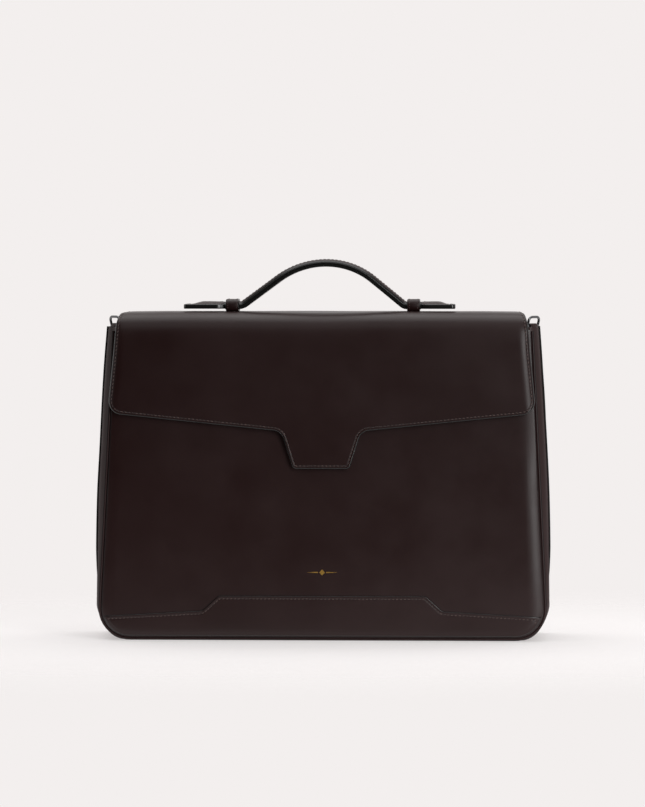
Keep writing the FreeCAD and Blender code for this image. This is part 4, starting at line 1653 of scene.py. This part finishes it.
        bm = swept(stations, band, at, ring=True)
        for face in bm.faces:
            if abs(abs(face.calc_center_median().x) - centre * MM) > (self.keeper_length / 2 - 0.5) * MM:
                face.material_index = Layer.EDGE.value
        loop = finish_piece(f"keeper_leather_{hand.name.lower()}", bm, self.finishes.cut_leather)
        threads = bmesh.new()
        small = Stitching(pitch=2.2, thread=0.28, hole=0.0)
        for edge in (-1, 1):
            row = edge * (self.keeper_length / 2 - 1.9)
            rise = [Vector((row, k, 0)) for k in range(-3, 4)]
            across = [Vector((row, k, 0)) for k in range(-12, 13)]
            for outer in (-1, 1):
                small.sew(threads, rise, everywhere, 0.05, closed=False,
                          lay=lambda a, b, c: Vector((a + centre, outer * (wide / 2 + c), middle_z + b)))
            small.sew(threads, across, everywhere, 0.05, closed=False,
                      lay=lambda a, b, c: Vector((a + centre, b, middle_z + tall / 2 + c)))
        move_to_place(threads, lambda x, y, z: Vector((side * x, y, z)) * MM)
        sewing = finish_piece(f"keeper_stitching_{hand.name.lower()}", threads, self.finishes.sewing)
        for piece, slot in ((loop, "leather"), (sewing, "thread")):
            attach(piece, "flap_top")
        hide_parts(f"keeper_{hand.name.lower()}")


# ------------------------------------------------------------------ strap rings
@dataclass
class RingTab:
    """The leather tab that holds a strap ring: a strip folded round the ring's bar.

    Attributes:
        loop_radius: of the fold, to the middle of the strip.
        foot: height of the strip's ends.
    """

    hand: Hand
    finishes: Finishes
    loop_radius: float = 2.2
    thick: float = 1.2
    width: float = 8.4
    foot: float = 228.0

    def build(self) -> None:
        """Makes the tab."""
        word = self.hand.name.lower()
        joint = next(j for j in frame["joints"] if j["name"] == f"ring_{word}_hinge")
        middle = Vector(joint["pos_m"]) / MM
        along = -Vector(joint["axis"])
        facing = Vector((along.y, -along.x, 0.0))
        if facing.x * self.hand.value < 0:
            facing = -facing
        steps, drop, r = 14, middle.z - self.foot, self.loop_radius
        turns = [math.pi * 1.12 * k / steps for k in range(steps + 1)]
        path = [(0.1 - r, -drop * k / 6) for k in range(6, 0, -1)]
        path += [(-r * math.cos(turn), r * math.sin(turn)) for turn in turns]
        last = path[-1]
        path += [(self.thick + 0.15 - r + (last[0] + r - self.thick) * (1 - t) ** 2, last[1] - (drop - 6) * t)
                 for t in (0.1, 0.22, 0.4, 0.6, 0.8, 1.0)]
        stations = len(path)
        section = rounded_section(self.width, self.thick, radius=0.5, steps=3)

        def at(i: int, a: float, b: float) -> Vector:
            """Carries a section point to a station along the folded strip."""
            here, ahead, back = path[i], path[min(i + 1, stations - 1)], path[max(i - 1, 0)]
            run = Vector((ahead[0] - back[0], ahead[1] - back[1])).normalized()
            out = Vector((-run.y, run.x))
            point = middle + along * a + facing * (here[0] + out.x * b) + Vector((0, 0, here[1] + out.y * b))
            return point * MM

        bm = swept(stations, section, at)
        tab = finish_piece(f"ring_tab_leather_{word}", bm, [self.finishes.gusset_leather])
        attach(tab, "shell")
        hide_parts(f"ring_tab_{word}")


# ------------------------------------------------------------------ inside
@dataclass(frozen=True)
class CushionCloth:
    """Puffs a padded piece up by a short cloth simulation, with its seams held.

    Attributes:
        pressure: inside the piece.
        frames: how long the simulation runs.
        cap: the most that a point may move, in millimetres.
    """

    pressure: float = 4.0
    frames: int = 20
    cap: float = 1.1

    def puff(self, pad: bpy.types.Object, held: Callable[[Vector], float]) -> None:
        """Simulates the cloth and applies its result to the mesh.

        Args:
            pad: the closed piece, a little thinner than it will be.
            held: says how firmly a point is held, from 0 to 1.
        """
        rest = [vert.co.copy() for vert in pad.data.vertices]
        pins = pad.vertex_groups.new(name="sewn")
        for vert in pad.data.vertices:
            pins.add([vert.index], held(vert.co), "REPLACE")
        cloth = pad.modifiers.new("cloth", "CLOTH")
        cloth.settings.vertex_group_mass = "sewn"
        cloth.settings.use_pressure = True
        cloth.settings.uniform_pressure_force = self.pressure
        cloth.settings.effector_weights.gravity = 0.0
        cloth.point_cache.frame_start, cloth.point_cache.frame_end = 1, self.frames
        scene = bpy.context.scene
        for frame_number in range(1, self.frames + 1):
            scene.frame_set(frame_number)
        swollen = pad.evaluated_get(bpy.context.evaluated_depsgraph_get()).to_mesh()
        moved = [vert.co.copy() for vert in swollen.vertices]
        pad.modifiers.remove(cloth)
        pad.vertex_groups.remove(pins)
        scene.frame_set(1)
        for vert, start, end in zip(pad.data.vertices, rest, moved):
            step = end - start
            vert.co = start + step * min(1.0, self.cap * MM / max(step.length, 1e-9))
        swelling = max((end - start).length for start, end in zip(rest, moved)) / MM
        LOG.info("%s: puffed by up to %.2f mm", pad.name, swelling)


@dataclass
class Inside:
    """The padded divider between papers and laptop, and the nylon coils of the zip pocket."""

    finishes: Finishes
    divider_half: float = 161.5
    divider_top: float = 235.5
    pad_thick: float = 3.6
    quilt: float = 54.0

    def build(self) -> None:
        """Makes the pieces."""
        self._divider()
        self._coils()

    def _divider(self) -> None:
        """The foam divider in its cloth cover, puffed between its quilted lines."""
        low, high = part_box("divider_pad")
        foot, middle = low.z / MM, (low.y + high.y) / 2 / MM
        thick = self.pad_thick
        corners = [(-self.divider_half, foot, 3), (self.divider_half, foot, 3),
                   (self.divider_half, self.divider_top, 3), (-self.divider_half, self.divider_top, 3)]
        lines = [self.quilt * k for k in (-2.5, -1.5, -0.5, 0.5, 1.5, 2.5)]
        across = [line + self.quilt * k / 9 for line in lines[:-1] for k in range(9)] + lines[-1:]
        piece = CutPiece(corners, thick, edge_round=1.2, u_cuts=across,
                         v_cuts=cuts(6, self.divider_top - 1.5, 6))
        bm = piece.cut()
        move_to_place(bm, lambda u, v, h: Vector((u, middle - (h + thick / 2), v)) * MM)

        def held(point: Vector) -> float:
            """Holds the edges and the quilted lines."""
            x, z = point.x / MM, point.z / MM
            edges = [self.divider_half - abs(x), z - foot, self.divider_top - z]
            return 1.0 if min(edges + [abs(x - line) for line in lines]) < 1.0 else 0.0

        pad = finish_piece("divider_padded_cloth", bm, [self.finishes.twill] * 3, crease=70)
        CushionCloth().puff(pad, held)
        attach(pad, "shell")
        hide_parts("divider_pad")

    def _coils(self) -> None:
        """The zip's teeth: short loops of nylon on both tapes, meshing in the middle."""
        low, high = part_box("zip_coils")
        pitch, bm = 1.7, bmesh.new()
        centre = (low + high) / 2 / MM
        reach = (high.x - low.x) / 2 / MM - 1
        teeth = Stitching(pitch=pitch, share=0.72, thread=0.5, slant=math.radians(90), hole=0.0)
        for offset, start in ((0.55, -reach), (-0.55, pitch / 2 - reach)):
            row = [Vector((start, offset, 0)), Vector((reach, offset, 0))]
            teeth.sew(bm, row, everywhere, 0.0, closed=False,
                      lay=lambda a, b, c: centre + Vector((a, -c, b + (b - offset) * 0.9)))
        bmesh.ops.scale(bm, verts=bm.verts[:], vec=(MM, MM, MM))
        coils = finish_piece("zip_nylon_teeth", bm, [self.finishes.nylon])
        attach(coils, "shell")
        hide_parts("zip_coils")


@dataclass
class Ornament:
    """The small gold ornament pressed into the front: a lozenge between two tapering bars."""

    finishes: Finishes
    centre_v: float = 58.2
    lozenge: tuple[float, float] = (2.4, 2.6)
    bar: tuple[float, float] = (3.8, 13.0)
    bar_half: float = 0.55
    foil: float = 0.04

    def build(self) -> None:
        """Makes the ornament."""
        a, b = self.lozenge
        inner, outer = self.bar
        shapes = [[(-a, 0), (0, -b), (a, 0), (0, b)]]
        for sign in (-1, 1):
            bar = [(inner, -self.bar_half), (outer, 0), (inner, self.bar_half), (inner - 0.5, 0)]
            shapes.append([(sign * u, v) for u, v in bar][::sign])
        bm = bmesh.new()
        for shape in shapes:
            face = bm.faces.new([bm.verts.new((u, v + self.centre_v, self.foil)) for u, v in shape])
            bmesh.ops.extrude_face_region(bm, geom=[face])
            bmesh.ops.translate(bm, verts=face.verts[:], vec=(0, 0, -2 * self.foil))
        move_to_place(bm, SHAPE.wall_surface(Side.FRONT))
        mark = finish_piece("front_foil_ornament", bm, [self.finishes.foil])
        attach(mark, "shell")


# ------------------------------------------------------------------ studio
@dataclass(frozen=True)
class Softbox:
    """A rectangular soft light: where it hangs, what it is aimed at, its size (metres) and power (watts)."""

    name: str
    at: tuple[float, float, float]
    towards: tuple[float, float, float]
    size: tuple[float, float]
    power: float

    def build(self) -> None:
        """Hangs the light; the camera doesn't see it."""
        data = bpy.data.lights.new(self.name, "AREA")
        data.shape = "RECTANGLE"
        data.size, data.size_y = self.size
        data.energy = self.power
        lamp = bpy.data.objects.new(self.name, data)
        lamp.location = self.at
        lamp.rotation_euler = (Vector(self.towards) - Vector(self.at)).to_track_quat("-Z", "Y").to_euler()
        lamp.visible_camera = False
        bpy.context.scene.collection.objects.link(lamp)


SOFTBOXES = (
    Softbox("top_softbox", (0.0, 0.1, 1.6), (0.0, 0.0, 0.2), (1.8, 1.2), 12.5),
    Softbox("front_top_softbox", (0.0, -1.0, 1.4), (0.0, 0.0, 0.2), (1.8, 0.6), 2.6),
    Softbox("right_softbox", (1.0, -1.4, 0.5), (0.0, 0.0, 0.15), (0.7, 1.3), 14.6),
    Softbox("left_softbox", (-1.6, -0.5, 0.6), (0.0, 0.0, 0.15), (0.4, 1.2), 1.2))


@dataclass
class Studio:
    """A pale floor, soft lights and a long lens a little above the bag and to its right."""

    backdrop: str = "#f3efee"
    distance: float = 3.5
    elevation: float = math.radians(2.3)
    turn: float = math.radians(2.2)
    frame_height: float = 0.6915
    aim: Vector = field(default_factory=lambda: Vector((-0.0012, 0.0, 0.2)))

    def build(self) -> None:
        """Makes the whole set."""
        self._camera()
        self._backdrop()
        self._floor()
        self._dark_room()
        for softbox in SOFTBOXES:
            softbox.build()

    def _camera(self) -> None:
        """The camera: a long lens, aimed above the bag's middle."""
        data = bpy.data.cameras.new("camera")
        data.sensor_width = 36.0
        data.lens = data.sensor_width * self.distance / self.frame_height
        camera = bpy.data.objects.new("camera", data)
        back = Vector((math.sin(self.turn) * math.cos(self.elevation),
                       -math.cos(self.turn) * math.cos(self.elevation), math.sin(self.elevation)))
        camera.location = self.aim + back * self.distance
        camera.rotation_euler = (-back).to_track_quat("-Z", "Y").to_euler()
        bpy.context.scene.collection.objects.link(camera)
        bpy.context.scene.camera = camera
        bpy.context.scene.view_settings.view_transform = "Standard"

    def _backdrop(self) -> None:
        """An even, pale background."""
        world = bpy.data.worlds.new("pale_backdrop")
        world.use_nodes = True
        world.node_tree.nodes["Background"].inputs["Color"].default_value = hex_linear(self.backdrop)
        bpy.context.scene.world = world

    def _floor(self) -> None:
        """The pale floor: it glows like the backdrop, is shaded under the bag and fades out at its rim."""
        bm = bmesh.new()
        bmesh.ops.create_circle(bm, cap_ends=True, segments=96, radius=1.6)
        material = bpy.data.materials.new("pale_floor_paper")
        material.use_nodes = True
        tree = material.node_tree
        tree.nodes.clear()
        coords = add_node(tree, "ShaderNodeTexCoord")
        squeezed = add_node(tree, "ShaderNodeVectorMath", {"operation": "MULTIPLY", 1: (0.45, 1.0, 1.0)},
                            {0: coords.outputs["Object"]})
        reach = add_node(tree, "ShaderNodeVectorMath", {"operation": "LENGTH"}, {0: squeezed.outputs[0]})
        fade = add_node(tree, "ShaderNodeMapRange", {"From Min": 0.08, "From Max": 0.5,
                                                     "interpolation_type": "SMOOTHSTEP"},
                        {"Value": reach.outputs["Value"]})
        glow = add_node(tree, "ShaderNodeEmission", {"Color": hex_linear(self.backdrop), "Strength": 0.49})
        paper = add_node(tree, "ShaderNodeBsdfDiffuse", {"Color": (0.58, 0.57, 0.57, 1)})
        both = add_node(tree, "ShaderNodeAddShader", {}, {0: glow.outputs[0], 1: paper.outputs[0]})
        clear = add_node(tree, "ShaderNodeBsdfTransparent")
        mixed = add_node(tree, "ShaderNodeMixShader", {},
                         {0: fade.outputs["Result"], 1: both.outputs[0], 2: clear.outputs[0]})
        add_node(tree, "ShaderNodeOutputMaterial", {}, {"Surface": mixed.outputs[0]})
        finish_piece("floor", bm, [material])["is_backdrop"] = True

    def _dark_room(self) -> None:
        """The dim studio round the set, which the leather reflects; the camera doesn't see it."""
        bm = bmesh.new()
        bmesh.ops.create_uvsphere(bm, u_segments=32, v_segments=16, radius=7.0)
        material = bpy.data.materials.new("studio_walls_dim")
        material.use_nodes = True
        tree = material.node_tree
        tree.nodes.clear()
        coords = add_node(tree, "ShaderNodeTexCoord")
        parts = add_node(tree, "ShaderNodeSeparateXYZ", {}, {"Vector": coords.outputs["Object"]})
        depth = add_node(tree, "ShaderNodeMapRange", {"From Min": -1.5, "From Max": 2.0, "To Min": 0.03,
                                                      "To Max": 0.9, "interpolation_type": "SMOOTHSTEP"},
                         {"Value": parts.outputs["Y"]})
        glow = add_node(tree, "ShaderNodeEmission", {"Color": hex_linear(self.backdrop)},
                        {"Strength": depth.outputs["Result"]})
        add_node(tree, "ShaderNodeOutputMaterial", {}, {"Surface": glow.outputs[0]})
        room = finish_piece("studio_walls", bm, [material])
        room.visible_camera = False
        room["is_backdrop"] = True


def write_sizes() -> None:
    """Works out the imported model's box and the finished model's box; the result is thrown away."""
    boxes = {"cad": CAD_BOX, "visual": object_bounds()}
    {name: [list(corner) for corner in box] for name, box in boxes.items()}


def main() -> None:
    """Builds the bag's looks piece by piece."""
    logging.basicConfig(level=logging.INFO, format="%(message)s")
    finishes = Finishes()
    finishes.dress_frame()
    Wall(Side.FRONT, finishes).build()
    Wall(Side.BACK, finishes).build()
    Gusset(finishes).build()
    Flap(finishes).build()
    Handle(finishes).build()
    for hand in Hand:
        RingTab(hand, finishes).build()
    Inside(finishes).build()
    Ornament(finishes).build()
    Studio().build()
    write_sizes()


if __name__ == "__main__":
    main()
